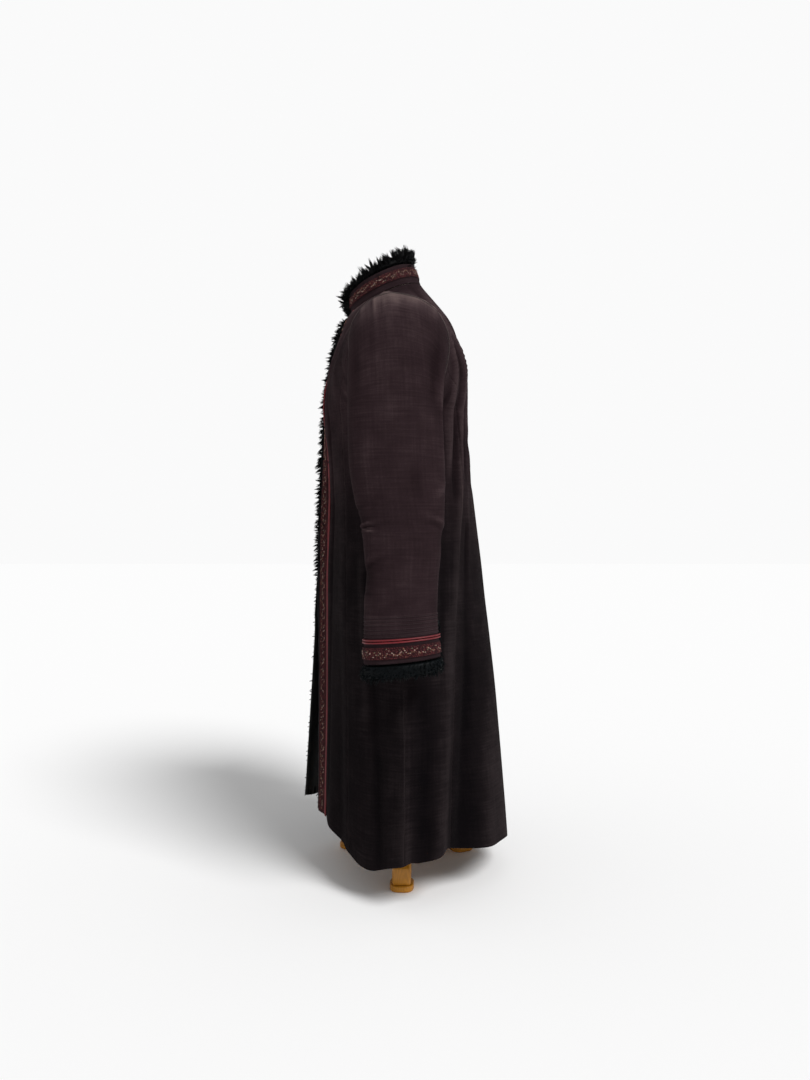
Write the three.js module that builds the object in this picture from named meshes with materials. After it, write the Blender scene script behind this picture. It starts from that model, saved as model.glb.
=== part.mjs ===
/**
 * A long fur-edged coat worn by a limbless dress form on a low three-legged stand. Millimetres.
 * +Z is up, the wearer faces -Y and the wearer's left is +X. The origin is on the floor, under the
 * middle of the whole piece.
 *
 * The coat's surface is a function of two numbers. `u` runs round one half of the coat, from the
 * centre front edge (0) through the front seam (2), side seam (3) and back seam (4) to the centre
 * back (5). `w` runs up it: 0 is the hem, 5 the underarm, and from 5 to 6 a front and a back yoke
 * close up to the neck seam and shoulder seam. Every panel, braid and piping is cut from it.
 */
import * as THREE from 'three';
import { mergeVertices } from 'three/addons/utils/BufferGeometryUtils.js';

// ---- Cloth and trim -----------------------------------------------------------------------------
const WALL = 2.6; // velveteen cord with its lining
const GAP = 0.3; // between two pieces that meet
const BRAID_RISE = 1.5;
const BRAID_WIDTH = 19;
const PIPING_RISE = 2.4;
const PIPING_BASE = 0.5; // its underside over the cloth
const PIPING_FROM = 21.5; // from the front edge to the near side of the double piping
const PIPING_WIDTH = 6.8;
const PIPING_PROFILE = [0.25, 1, 0.45, 1, 0.25]; // two cords side by side

// ---- Body sections, left half: [x, y, z] on each line down the coat, a row for each height ----
const SECTIONS = [
  // hem
  { edge: [46, -167, 115], keel: [62, -152, 111], front: [160, -104, 80],
    side: [242, -1, 80], back: [188, 76, 87], centre: [0, 195, 52] },
  // knee
  { edge: [31, -167, 270], keel: [48, -150, 270], front: [147, -105, 270],
    side: [224, 0, 270], back: [171, 80, 270], centre: [0, 179, 270] },
  // thigh
  { edge: [15, -168, 440], keel: [32, -150, 440], front: [131, -108, 440],
    side: [209, -4, 440], back: [147, 86, 440], centre: [0, 164, 440] },
  // hip
  { edge: [12, -168, 580], keel: [30, -150, 580], front: [121, -109, 580],
    side: [195, -8, 580], back: [127, 93, 580], centre: [0, 148, 580] },
  // waist
  { edge: [12, -165, 720], keel: [29, -147, 720], front: [110, -112, 720],
    side: [185, -13, 720], back: [108, 102, 720], centre: [0, 133, 720] },
  // underarm
  { edge: [13, -156, 880], keel: [38, -153, 880], front: [96, -120, 880],
    side: [178, -18, 880], back: [97, 100, 880], centre: [0, 120, 880] },
];
const LINE_NAMES = ['edge', 'keel', 'front', 'side', 'back', 'centre'];
const UNDERARM = SECTIONS.length - 1;
const TOP = UNDERARM + 1;
const CLOSED_FROM = 2.3; // below this `w` the fronts fall open

// The right front hangs further forward where the coat falls open (hem, knee and thigh rows).
const RIGHT_FRONT = [
  { edge: [50, -203, 115], keel: [70, -187, 112] },
  { edge: [35, -192, 270], keel: [55, -175, 270] },
  { edge: [17, -179, 440], keel: [35, -162, 440] },
];

// Centre front edge above the underarm, and the centre back, bottom to top: [y, z].
const FRONT_RISE = [
  [-156, 880], [-151, 932], [-143, 975], [-131, 1021], [-118, 1064], [-107, 1082.5],
];
const BACK_RISE = [[120, 880], [119, 932], [116, 975], [108, 1026], [87, 1080], [32, 1144]];

// Armhole, clockwise from the shoulder point through the front: [x, y, z].
const ARMHOLE = [
  [206, -25, 1070], [203, -66, 1054], [199, -91, 1023], [192, -99, 985], [185, -92, 930],
  [180, -62, 893], [178, -18, 880], [180, 30, 888], [184, 62, 915], [190, 77, 960],
  [196, 74, 1008], [202, 42, 1052],
];

const ARMHOLE_PULL = 2.2; // how closely the chest and back keep their own shape beside the armhole
const CORNER_REACH = 5; // the higher, the less far the corner at the side of the neck shows below it
const NECK_SIDE_U = 1.5; // where the neck seam meets the shoulder seam on the front yoke
// [x, y, z] by which a yoke swells halfway up, and again where it slopes to the shoulder.
const CHEST_FULLNESS = { middle: [3, -7, 1], slope: [0, 0, 0] };
const BLADE_FULLNESS = { middle: [0, 14, 4], slope: [0, 7, 20] };
const NO_FULLNESS = { middle: [0, 0, 0], slope: [0, 0, 0] };

const NECK = { half: 75, deep: 70, y: -38, z: 1113, slope: 31 };
const COLLAR_TOP = { half: 68, deep: 64, y: -46, z: 1154, slope: 29 };
const COLLAR_OPENING = 10; // degrees from the centre front to each end of the collar
const COLLAR_LIFT = 1.2; // off the neck seam, whose facets are its own
const COLLAR_BRAID_FROM = 14; // above the neck seam

// Folds that stand out of the skirt (+) or fall in (-): place and width in `u`, depth at the hem,
// the row where they end, and how far they wander round the coat from row to row.
const SKIRT_FOLDS = [
  { u: 1.35, width: 0.22, depth: 7, top: 4.2, drift: 0 },
  { u: 1.75, width: 0.16, depth: -5, top: 3.2, drift: 0 },
  { u: 2.5, width: 0.22, depth: -6, top: 2.4, drift: 0 },
  { u: 3.0, width: 0.12, depth: 6, top: 2.2, drift: 0 },
  { u: 3.4, width: 0.16, depth: -9, top: 2.8, drift: 0 },
  { u: 3.55, width: 0.4, depth: 9, top: 5, drift: 0 },
  { u: 3.7, width: 0.13, depth: 9, top: 4.6, drift: 0.075 },
  { u: 4.15, width: 0.17, depth: -9, top: 3.2, drift: 0.05 },
  { u: 4.48, width: 0.5, depth: 18, top: 5, drift: 0 },
  { u: 4.45, width: 0.1, depth: 5, top: 1.8, drift: 0 },
  { u: 4.65, width: 0.14, depth: 6, top: 2.2, drift: 0 },
];
// Waves of the hem, which lift it (+) or let it down (-).
const HEM_WAVES = [
  { u: 2.38, width: 0.28, rise: -18 },
  { u: 3.12, width: 0.2, rise: 9 },
  { u: 3.85, width: 0.25, rise: 12 },
  { u: 4.68, width: 0.2, rise: 13 },
];
const HEM_WAVE_TOP = 1.2; // the row where they end

// ---- Sleeve: rings from the underarm to the cuff edge -------------------------------------------
const SLEEVE_RINGS = [
  { z: 865, x: 237, front: -98, back: 67, thick: 46, tilt: 0 },
  { z: 795, x: 239, front: -97, back: 68, thick: 46, tilt: 0 },
  { z: 741, x: 241, front: -92, back: 68, thick: 45, tilt: 0 },
  { z: 678, x: 244, front: -80, back: 67, thick: 44, tilt: 0 },
  { z: 636, x: 247, front: -71, back: 64, thick: 42, tilt: 0 },
  { z: 565, x: 252, front: -69, back: 56, thick: 40, tilt: 1 },
  { z: 500, x: 257, front: -69, back: 55, thick: 39, tilt: 4 },
  { z: 438, x: 262, front: -69, back: 60, thick: 38, tilt: 6.5 },
];
const CUFF = SLEEVE_RINGS.length - 1;
const FRONT_SEAM_AT = 118; // degrees from the outer face, forward round the arm
const BACK_SEAM_AT = -92;
const SLIT_LENGTH = 100;
const SLIT_TAPER = 25; // its top end closes over this length
const SLIT_WIDTH = 7.6;
const UPPER_COLUMNS = [
  BACK_SEAM_AT, -72, -50, -40, -30, -20, -10, 0, 10, 20, 30, 40, 50, 68, 86, 102, FRONT_SEAM_AT,
];
const UNDER_COLUMNS = [FRONT_SEAM_AT, 136.8, 158.4, 180, 201.6, 223.2, 244.8, BACK_SEAM_AT + 360];
const CAP_ROWS = [0, 0.14, 0.3, 0.5, 0.75, 1];
const CUFF_ROWS = [96, 78, 62, 40, 33, 27, 8, 0]; // heights above the cuff edge
const CUFF_BRAID = [27, 8];
const CUFF_PIPING = [40, 33];
const SLEEVE_LIFT = 1.9; // off the armhole, where the two walls lean together
const HEAD_TUCKS = { spacing: 20, count: 5, rise: 2.6, width: 6, fade: 0.55 };

// Dents across the sleeve: place in rings and degrees, reach in rings and degrees, depth.
const SLEEVE_DENTS = [
  { ring: 3.1, at: 88, long: 0.3, wide: 42, depth: 3.5 },
  { ring: 4.8, at: 84, long: 0.3, wide: 36, depth: 4.5 },
  { ring: 3.9, at: 262, long: 0.35, wide: 34, depth: 4 },
  { ring: 0.1, at: 262, long: 0.8, wide: 30, depth: 7 },
];

// ---- Fur ----------------------------------------------------------------------------------------
const FUR_PROUD = 9; // how far it stands out past the cloth
const FUR_PROUD_AT_NECK = 14;
const FUR_TOP = 5.9; // `w` at which the front fur stops, under the collar

// Collar fur in section: out from the collar's face, and up from its top edge.
const COLLAR_FUR = [
  [-2.9, -30], [-9, -30], [-12, -14], [-13, 6], [-9, 20],
  [-2, 26], [4, 20], [5, 8], [2, 0.9], [-2.9, 0.5],
];
const COLLAR_FUR_PAST = 11.6; // past each end of the collar
const COLLAR_FUR_END = [
  [-4, -45], [-9, -40], [-12, -14], [-13, 6], [-8, 19],
  [2, 22], [12, 14], [16, 0], [17, -20], [9, -42],
];
// Cuff fur in section: out from the sleeve's face, and up from the cuff edge.
const CUFF_FUR = [
  [-2.9, 30], [-6, 30], [-9, 8], [-8, -16], [-2, -26], [5, -24], [8, -12], [5, -1.2], [-2.9, -0.6],
];

// ---- Dress form and stand -----------------------------------------------------------------------
const FORM_BOTTOM = 580;
const FORM_RINGS = [
  { z: 580, front: -118, back: 108, half: 162 },
  { z: 650, front: -112, back: 102, half: 152 },
  { z: 740, front: -100, back: 82, half: 130 },
  { z: 810, front: -112, back: 88, half: 138 },
  { z: 880, front: -122, back: 96, half: 150 },
];
const FORM_NECK = { half: 55, deep: 48, y: -38, z: 1112, slope: 26 };
const FORM_NECK_TOP = 1150;
const POLE_RADIUS = 13;
const HUB_INRADIUS = 34;
const HUB_FROM = 92;
const HUB_TO = 162;
const LEG_WIDTH = 34;
const LEG_BEVEL = 3;
const LEG_COUNT = 3;
const LEG_TURN = -2.5; // degrees from +X to the first leg
const LEG_PROFILE = [
  [34.3, 158], [62, 152], [96, 118], [122, 76], [140, 56], [149, 42], [151, 26], [149, 12.3],
  [118, 12.3], [106, 26], [88, 62], [66, 88], [34.3, 98],
];
const PAD = { from: 106, to: 154, width: 44, height: 12, corner: 16, bevel: 2 };

const COLOURS = {
  cloth: [0x2a1f22, 0.85], braid: [0x4a2b2a, 0.7], piping: [0x8c1f2c, 0.4], fur: [0x0c0f12, 0.95],
  form: [0xcfc4b2, 0.9], wood: [0xa8702c, 0.5], steel: [0x8b8d90, 0.35],
};

// ---- Small helpers ------------------------------------------------------------------------------
const vec = ([x, y, z]) => new THREE.Vector3(x, y, z);
const radians = THREE.MathUtils.degToRad;
const ease = THREE.MathUtils.smoothstep;
const bump = (x, middle, width) => Math.exp(-(((x - middle) / width) ** 2));
const ANY_ANGLE = [-400, 800]; // degrees; a ring has no first or last place
const group = new THREE.Group();

/** The value at place k of a smooth line through equally spaced values. */
function spline(values, k) {
  const i = Math.min(Math.max(Math.floor(k), 0), values.length - 2);
  const f = k - i;
  const at = (n) => values[Math.min(Math.max(n, 0), values.length - 1)];
  const [a, b, c, d] = [at(i - 1), at(i), at(i + 1), at(i + 2)];
  return b + 0.5 * f * (c - a + f * (2 * a - 5 * b + 4 * c - d + f * (3 * (b - c) + d - a)));
}

/** The outward normal of a surface at(a, b), from its slopes. */
function normalOf(at, a, b, [aLow, aHigh], [bLow, bHigh], step = 0.02) {
  const slopeA = at(Math.min(a + step, aHigh), b).sub(at(Math.max(a - step, aLow), b));
  const slopeB = at(a, Math.min(b + step, bHigh)).sub(at(a, Math.max(b - step, bLow)));
  return slopeA.cross(slopeB).normalize();
}

function addMesh(name, geometry, [color, roughness], metalness = 0) {
  geometry.computeVertexNormals();
  const mesh = new THREE.Mesh(geometry, new THREE.MeshStandardMaterial({ color, roughness, metalness }));
  mesh.name = name;
  group.add(mesh);
  return mesh;
}

/** A geometry from points and triangles, mirrored to the wearer's right where asked. */
function solid(points, triangles, mirrored = false) {
  const geometry = new THREE.BufferGeometry();
  const flat = points.flatMap((p) => [mirrored ? -p.x : p.x, p.y, p.z]);
  const faces = mirrored ? triangles.map(([a, b, c]) => [a, c, b]) : triangles;
  geometry.setAttribute('position', new THREE.Float32BufferAttribute(flat, 3));
  geometry.setIndex(faces.flat());
  return geometry;
}

/**
 * A closed wall over a grid of { p, n }: its faces lie `high` and `low` along each normal. Rows run
 * so that (next column) x (next row) points out. `high` may give a height for each column.
 */
function slab(grid, high, low, mirrored) {
  const rows = grid.length;
  const columns = grid[0].length;
  const rise = (j) => (Array.isArray(high) ? high[j] : high);
  const points = [];
  for (const level of [rise, () => low]) {
    for (const row of grid) {
      row.forEach(({ p, n }, j) => points.push(p.clone().addScaledVector(n, level(j))));
    }
  }
  const outer = (i, j) => i * columns + j;
  const inner = (i, j) => rows * columns + i * columns + j;
  const triangles = [];
  const quad = (a, b, c, d) => triangles.push([a, b, c], [a, c, d]);
  for (let i = 0; i < rows - 1; i += 1) {
    for (let j = 0; j < columns - 1; j += 1) {
      quad(outer(i, j), outer(i, j + 1), outer(i + 1, j + 1), outer(i + 1, j));
      quad(inner(i, j), inner(i + 1, j), inner(i + 1, j + 1), inner(i, j + 1));
    }
    const last = columns - 1;
    quad(outer(i, 0), outer(i + 1, 0), inner(i + 1, 0), inner(i, 0));
    quad(outer(i, last), inner(i, last), inner(i + 1, last), outer(i + 1, last));
  }
  for (let j = 0; j < columns - 1; j += 1) {
    const last = rows - 1;
    quad(outer(0, j), inner(0, j), inner(0, j + 1), outer(0, j + 1));
    quad(outer(last, j), outer(last, j + 1), inner(last, j + 1), inner(last, j));
  }
  return solid(points, triangles, mirrored);
}

/** A body through matching closed outlines, with flat ends, or joined end to end as a ring. */
function sweep(outlines, flatOutline, ring = false, mirrored = false) {
  const count = outlines[0].length;
  const triangles = [];
  const index = (i, j) => (i % outlines.length) * count + (j % count);
  const spans = ring ? outlines.length : outlines.length - 1;
  for (let i = 0; i < spans; i += 1) {
    for (let j = 0; j < count; j += 1) {
      triangles.push([index(i, j), index(i, j + 1), index(i + 1, j + 1)]);
      triangles.push([index(i, j), index(i + 1, j + 1), index(i + 1, j)]);
    }
  }
  if (!ring) {
    const contour = flatOutline.map(([a, b]) => new THREE.Vector2(a, b));
    const caps = THREE.ShapeUtils.triangulateShape(contour, []);
    const clockwise = THREE.ShapeUtils.isClockWise(contour);
    for (const [a, b, c] of caps) {
      const face = clockwise ? [a, b, c] : [a, c, b];
      const end = spans * count;
      triangles.push(face);
      triangles.push([end + face[0], end + face[2], end + face[1]]);
    }
  }
  const geometry = solid(outlines.flat(), triangles, mirrored);
  return outward(geometry);
}

/** The geometry with its triangles turned over if they face in. */
function outward(geometry) {
  const position = geometry.getAttribute('position');
  const faces = geometry.getIndex().array;
  const corner = (i) => new THREE.Vector3().fromBufferAttribute(position, faces[i]);
  let volume = 0;
  for (let i = 0; i < faces.length; i += 3) {
    volume += corner(i).dot(corner(i + 1).cross(corner(i + 2)));
  }
  if (volume < 0) {
    for (let i = 0; i < faces.length; i += 3) {
      [faces[i + 1], faces[i + 2]] = [faces[i + 2], faces[i + 1]];
    }
  }
  return geometry;
}

// ---- The coat's surface -------------------------------------------------------------------------
const armhole = new THREE.CatmullRomCurve3(ARMHOLE.map(vec), true);
const armholeAt = (degrees) => armhole.getPoint((((degrees % 360) + 360) % 360) / 360);

/** A point on a neck-like ring, `angle` degrees round from the centre front. */
function neckRing({ half, deep, y, z, slope }, angle) {
  const sin = Math.sin(radians(angle));
  const cos = Math.cos(radians(angle));
  return new THREE.Vector3(half * sin, y - deep * cos, z - slope * cos);
}

function linePoint(name, w, right) {
  const rows = SECTIONS.map((section, i) => (right && RIGHT_FRONT[i]?.[name]) || section[name]);
  return new THREE.Vector3(...[0, 1, 2].map((axis) => spline(rows.map((row) => row[axis]), w)));
}

/** A point of the skirt and bodice below the underarm, with its folds. */
function skirt(u, w, right) {
  const points = LINE_NAMES.map((name) => linePoint(name, w, right));
  const past = points[4].clone();
  past.x = -past.x;
  const ring = new THREE.CatmullRomCurve3([...points, past]);
  const place = (k) => ring.getPoint(Math.min(Math.max(k, 0), 6) / 6);
  const p = place(u);
  const along = place(u + 0.02).sub(place(u - 0.02));
  const out = new THREE.Vector3(along.y, -along.x, 0).normalize();
  for (const fold of SKIRT_FOLDS) {
    const reach = bump(u, fold.u + fold.drift * w, fold.width);
    p.addScaledVector(out, fold.depth * reach * (1 - ease(w, 0, fold.top)));
  }
  for (const wave of HEM_WAVES) {
    p.z += wave.rise * bump(u, wave.u, wave.width) * (1 - ease(w, 0, HEM_WAVE_TOP));
  }
  return p;
}

const riseAt = (rise, x, t) => {
  const k = t * (rise.length - 1);
  return new THREE.Vector3(x, spline(rise.map((r) => r[0]), k), spline(rise.map((r) => r[1]), k));
};

/** A smooth curve through both ends and the middle of a seam that has a corner there. */
function smoothed(seam, a) {
  const curve = seam(0).multiplyScalar(2 * (a - 0.5) * (a - 1));
  return curve.addScaledVector(seam(0.5), 4 * a * (1 - a)).addScaledVector(seam(1), 2 * a * (a - 0.5));
}

/**
 * The surface patch inside four border curves that meet at their corners; a and b are 0 to 1. The
 * armhole side, at a = 1 or a = 0, turns forward as it rises, and only what lies near it follows.
 * With a cornerReach, only the cloth beside the top seam takes up that seam's corner.
 */
function patch({ low, high, start, end, armAtStart, cornerReach = 0, fullness }, a, b) {
  const up = ease(b, 0, 1);
  const across = armAtStart ? 1 - (1 - a) ** ARMHOLE_PULL : a ** ARMHOLE_PULL;
  const top = smoothed(high, a).lerp(high(a), b ** cornerReach);
  const p = low(a).multiplyScalar(1 - up).addScaledVector(top, up);
  p.addScaledVector(start(b), 1 - across).addScaledVector(end(b), across);
  p.addScaledVector(low(0), -(1 - across) * (1 - up)).addScaledVector(low(1), -across * (1 - up));
  p.addScaledVector(high(0), -(1 - across) * up).addScaledVector(high(1), -across * up);
  const swell = Math.sin(Math.PI * a);
  p.addScaledVector(vec(fullness.middle), swell * ease(b, 0, 0.5) * (1 - ease(b, 0.55, 1)));
  return p.addScaledVector(vec(fullness.slope), swell * Math.sin(Math.PI * b ** 2));
}

const shoulderPoint = vec(ARMHOLE[0]);
const neckSide = neckRing(NECK, 90);
const frontEdgeX = SECTIONS[UNDERARM].edge[0];

/** Borders of the front yoke (centre front to armhole) and the back yoke (armhole to centre back). */
function frontYoke(right) {
  return {
    low: (a) => skirt(3 * a, UNDERARM, right),
    high: (a) => (a < 0.5
      ? neckRing(NECK, COLLAR_OPENING + (90 - COLLAR_OPENING) * 2 * a)
      : neckSide.clone().lerp(shoulderPoint, 2 * a - 1)),
    start: (b) => {
      const p = riseAt(FRONT_RISE, frontEdgeX, b);
      return p.lerp(neckRing(NECK, COLLAR_OPENING), ease(b, 0.9, 1));
    },
    end: (b) => armholeAt(180 * (1 - b)),
    fullness: CHEST_FULLNESS,
  };
}

const backYoke = {
  armAtStart: true,
  cornerReach: CORNER_REACH,
  fullness: BLADE_FULLNESS,
  low: (a) => skirt(3 + 2 * a, UNDERARM, false),
  high: (a) => (a < 0.5 ? shoulderPoint.clone().lerp(neckSide, 2 * a) : neckRing(NECK, 180 * a)),
  start: (b) => armholeAt(180 * (1 + b)),
  end: (b) => riseAt(BACK_RISE, 0, b),
};

/** The coat's outer surface. `half` says which yoke a place above the underarm belongs to. */
function coat(u, w, half, right = false) {
  if (w <= UNDERARM) {
    return skirt(u, w, right);
  }
  const b = w - UNDERARM;
  if (half === 'front') {
    return patch(frontYoke(right), Math.max(u, 0) / 3, b);
  }
  const place = (u - 3) / 2;
  if (place <= 1) {
    return patch(backYoke, place, b);
  }
  const mirrored = patch(backYoke, 2 - place, b);
  mirrored.x = -mirrored.x;
  return mirrored;
}

function coatNormal(u, w, half, right = false) {
  const at = (a, b) => coat(a, b, half, right);
  const uRange = half === 'front' ? [0, w > UNDERARM ? 3 : 5] : [w > UNDERARM ? 3 : 0, 7];
  const wRange = w > UNDERARM ? [UNDERARM + 1e-6, TOP] : [0, UNDERARM];
  const n = normalOf(at, u, w, uRange, wRange);
  const onShoulder = w === TOP && (half === 'front' ? u >= NECK_SIDE_U : u <= 4);
  if (onShoulder) {
    // Both yokes lean the same way along the seam they share.
    const other = half === 'front' ? 'back' : 'front';
    const mate = half === 'front' ? 3 + (3 - u) / NECK_SIDE_U : 3 - (u - 3) * NECK_SIDE_U;
    const range = other === 'front' ? [0, 3] : [3, 7];
    n.add(normalOf((a, b) => coat(a, b, other, right), mate, w, range, wRange)).normalize();
  }
  return n;
}

/** The place on the surface `distance` mm from the front edge, on row w. */
function fromEdge(distance, w, right) {
  let u = 0;
  let gone = 0;
  let last = coat(0, w, 'front', right);
  while (gone < distance) {
    const next = coat(u + 0.01, w, 'front', right);
    const step = next.distanceTo(last);
    if (gone + step > distance) {
      return u + (0.01 * (distance - gone)) / step;
    }
    gone += step;
    u += 0.01;
    last = next;
  }
  return u;
}

// ---- Panels -------------------------------------------------------------------------------------
const SKIRT_ROWS = [0, 0.35, 0.7, 1, 1.5, 2, 2.35, 2.7, 3, 3.5, 4, 4.5, 5];
const YOKE_ROWS = [0.12, 0.24, 0.36, 0.44, 0.5, 0.62, 0.75, 0.88, 1].map((b) => UNDERARM + b);
const SEAM_ROWS = YOKE_ROWS.filter((w) => w <= UNDERARM + 0.5);
const SHOULDER_SPANS = 3;
const SIDE_SPANS = 5; // across a side back
const BACK_COLUMNS = 2 * SHOULDER_SPANS; // from the armhole or back seam to the centre back
const SEAM_END = 0.97; // how near the front and back seams come to the armhole, in `u`

/** How far, 0 to 1, the front or back seam has run towards the armhole at row w. */
const seamRun = (w) => SEAM_END * Math.min(Math.max((w - UNDERARM) / 0.5, 0), 1) ** 1.3;
const frontSeam = (w) => (w > UNDERARM + 0.5 ? 3 : 2 + seamRun(w));
const backSeam = (w) => (w > UNDERARM + 0.5 ? 3 : 4 - seamRun(w));

/** Draws both side edges and the top edge of a grid in by half a seam's gap. */
function drawnIn(grid, top = true) {
  const half = GAP / 2;
  const pull = (from, towards) => {
    const way = towards.p.clone().sub(from.p).normalize();
    return { p: from.p.clone().addScaledVector(way, half), n: from.n };
  };
  const rows = grid.map((row) => {
    const last = row.length - 1;
    return row.map((one, j) => {
      if (j === 0) {
        return pull(one, row[1]);
      }
      return j === last ? pull(one, row[last - 1]) : one;
    });
  });
  if (top) {
    const last = rows.length - 1;
    rows[last] = rows[last].map((one, j) => pull(one, rows[last - 1][j]));
  }
  return rows;
}

const cell = (u, w, half, right) => ({ p: coat(u, w, half, right), n: coatNormal(u, w, half, right) });

/** `count` + 1 evenly spaced numbers. */
const between = (from, to, count) => (
  Array.from({ length: count + 1 }, (_, i) => from + ((to - from) * i) / count));

const EDGE_COLUMNS = [0, BRAID_WIDTH / 2, BRAID_WIDTH, PIPING_FROM, PIPING_FROM + PIPING_WIDTH];

/** Places across a front on row w: under the edge's trims, then evenly to `end`. */
function frontPlaces(w, end, right) {
  const near = EDGE_COLUMNS.map((mm) => fromEdge(mm, w, right));
  if (w === TOP) {
    return [...near, (near.at(-1) + NECK_SIDE_U) / 2, ...between(NECK_SIDE_U, 3, SHOULDER_SPANS)];
  }
  return [...near, ...between(near.at(-1), end, SHOULDER_SPANS + 2).slice(1)];
}

for (const side of ['left', 'right']) {
  const right = side === 'right';
  const bodyRows = [...SKIRT_ROWS, ...YOKE_ROWS];

  const frontGrid = bodyRows.map((w) => (
    frontPlaces(w, frontSeam(w), right).map((u) => cell(u, w, 'front', right))));
  addMesh(`front_${side}`, slab(drawnIn(frontGrid), 0, -WALL, right), COLOURS.cloth);

  const sideRows = [...SKIRT_ROWS, ...SEAM_ROWS];
  const sideFront = sideRows.map((w) => (
    between(frontSeam(w), 3, SIDE_SPANS - 1).map((u) => cell(u, w, 'front', right))));
  addMesh(`side_front_${side}`, slab(drawnIn(sideFront), 0, -WALL, right), COLOURS.cloth);
  const sideBack = sideRows.map((w) => (
    between(3, backSeam(w), SIDE_SPANS).map((u) => cell(u, w, 'back', right))));
  addMesh(`side_back_${side}`, slab(drawnIn(sideBack), 0, -WALL, right), COLOURS.cloth);

  const onFront = (columns) => bodyRows.map((w) => (
    columns.map((mm) => cell(fromEdge(mm, w, right), w, 'front', right))));
  const braidGrid = onFront([0.8, BRAID_WIDTH / 2, BRAID_WIDTH]);
  addMesh(`braid_front_${side}`, slab(braidGrid, GAP + BRAID_RISE, GAP, right), COLOURS.braid);
  const across = between(0, 1, PIPING_PROFILE.length - 1);
  const blend = (near, far, f) => (
    { p: near.p.clone().lerp(far.p, f), n: near.n.clone().lerp(far.n, f).normalize() });
  const pipingGrid = onFront([PIPING_FROM, PIPING_FROM + PIPING_WIDTH]).map(([near, far]) => (
    across.map((f) => blend(near, far, f))));
  const cordRise = PIPING_PROFILE.map((part) => PIPING_BASE + part * PIPING_RISE);
  addMesh(`piping_front_${side}`, slab(pipingGrid, cordRise, PIPING_BASE, right), COLOURS.piping);
}

const backColumns = (w) => {
  const half = between(backSeam(w), 5, BACK_COLUMNS);
  return [...half, ...half.slice(0, -1).reverse().map((u) => 10 - u)];
};
const backGrid = [...SKIRT_ROWS, ...YOKE_ROWS].map((w) => backColumns(w).map((u) => {
  const left = cell(Math.min(u, 10 - u), w, 'back', false);
  if (u <= 5) {
    return left;
  }
  left.p.x = -left.p.x;
  left.n.x = -left.n.x;
  return left;
}));
addMesh('back', slab(drawnIn(backGrid), 0, -WALL), COLOURS.cloth);

// ---- Sleeves ------------------------------------------------------------------------------------
/** The sleeve's outer surface: `k` is 0 at the underarm ring and CUFF at the edge, below 0 the cap. */
function sleeve(angle, k) {
  const column = (name) => spline(SLEEVE_RINGS.map((r) => r[name]), Math.max(k, 0));
  const sin = Math.sin(radians(angle));
  const cos = Math.cos(radians(angle));
  const middle = (column('front') + column('back')) / 2;
  const reach = (column('back') - column('front')) / 2;
  const p = new THREE.Vector3(column('x') + column('thick') * cos, middle - reach * sin,
    column('z') - column('tilt') * sin);
  if (k < 0) {
    const root = armholeAt(angle);
    const span = root.distanceTo(p);
    const leaving = new THREE.Vector3(0.95, 0, -0.26 - 0.13 * cos).multiplyScalar(0.8 * span);
    const arriving = new THREE.Vector3(0, 0, -span);
    const f = 1 + k;
    // A cubic from the armhole to the ring, which leaves and arrives along those two directions.
    p.multiplyScalar(3 * f ** 2 - 2 * f ** 3).addScaledVector(root, 2 * f ** 3 - 3 * f ** 2 + 1);
    p.addScaledVector(leaving, f ** 3 - 2 * f ** 2 + f).addScaledVector(arriving, f ** 3 - f ** 2);
  }
  return p;
}

/** Tucks round the sleeve head and dents along the sleeve, as a height over its plain surface. */
function sleeveRelief(angle, k) {
  const turned = (at) => ((angle - at + 540) % 360) - 180;
  let height = 0;
  for (const dent of SLEEVE_DENTS) {
    height -= dent.depth * bump(k, dent.ring, dent.long) * bump(turned(dent.at), 0, dent.wide);
  }
  const { spacing, count, rise, width, fade } = HEAD_TUCKS;
  for (let i = 0; i < count && k < 0; i += 1) {
    const at = spacing * (i - (count - 1) / 2);
    const swell = ease(k + 1, 0, 0.1) * (1 - ease(k + 1, 0.1, fade));
    height += rise * swell * bump(turned(at), 0, width);
  }
  return height;
}

/** The sleeve's outer surface with its tucks and dents. */
function sleeveOuter(angle, k) {
  const plain = normalOf(sleeve, angle, k, ANY_ANGLE, [-1, CUFF]);
  return sleeve(angle, k).addScaledVector(plain, sleeveRelief(angle, k));
}

/** A cell of the sleeve; the first row stands just off the armhole. */
function sleeveCell(angle, k) {
  const p = sleeveOuter(angle, k);
  const n = normalOf(sleeveOuter, angle, k, ANY_ANGLE, [-1, CUFF], 0.05);
  if (k === -1) {
    p.addScaledVector(sleeveOuter(angle, -0.95).sub(p).normalize(), SLEEVE_LIFT);
  }
  return { p, n };
}

/** The ring number at a height above the cuff edge. */
function ringAtHeight(height) {
  const heights = SLEEVE_RINGS.map((r) => r.z);
  let [low, high] = [0, CUFF];
  for (let i = 0; i < 30; i += 1) {
    const middle = (low + high) / 2;
    if (spline(heights, middle) > heights[CUFF] + height) {
      low = middle;
    } else {
      high = middle;
    }
  }
  return height === 0 ? CUFF : high;
}

const SLEEVE_ROWS = [...CAP_ROWS.map((f) => f - 1), 0.8, 1.6, 2.4, 3.1, 3.8, 4.4, 5,
  ...CUFF_ROWS.map(ringAtHeight)];

/** Degrees that each edge of the slit is drawn back by on ring k. */
function slitDegrees(k) {
  const height = spline(SLEEVE_RINGS.map((r) => r.z), Math.max(k, 0)) - SLEEVE_RINGS[CUFF].z;
  const open = SLIT_WIDTH * (1 - ease(height, SLIT_LENGTH - SLIT_TAPER, SLIT_LENGTH));
  return THREE.MathUtils.radToDeg(open / 2 / SLEEVE_RINGS[CUFF].thick);
}

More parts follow.
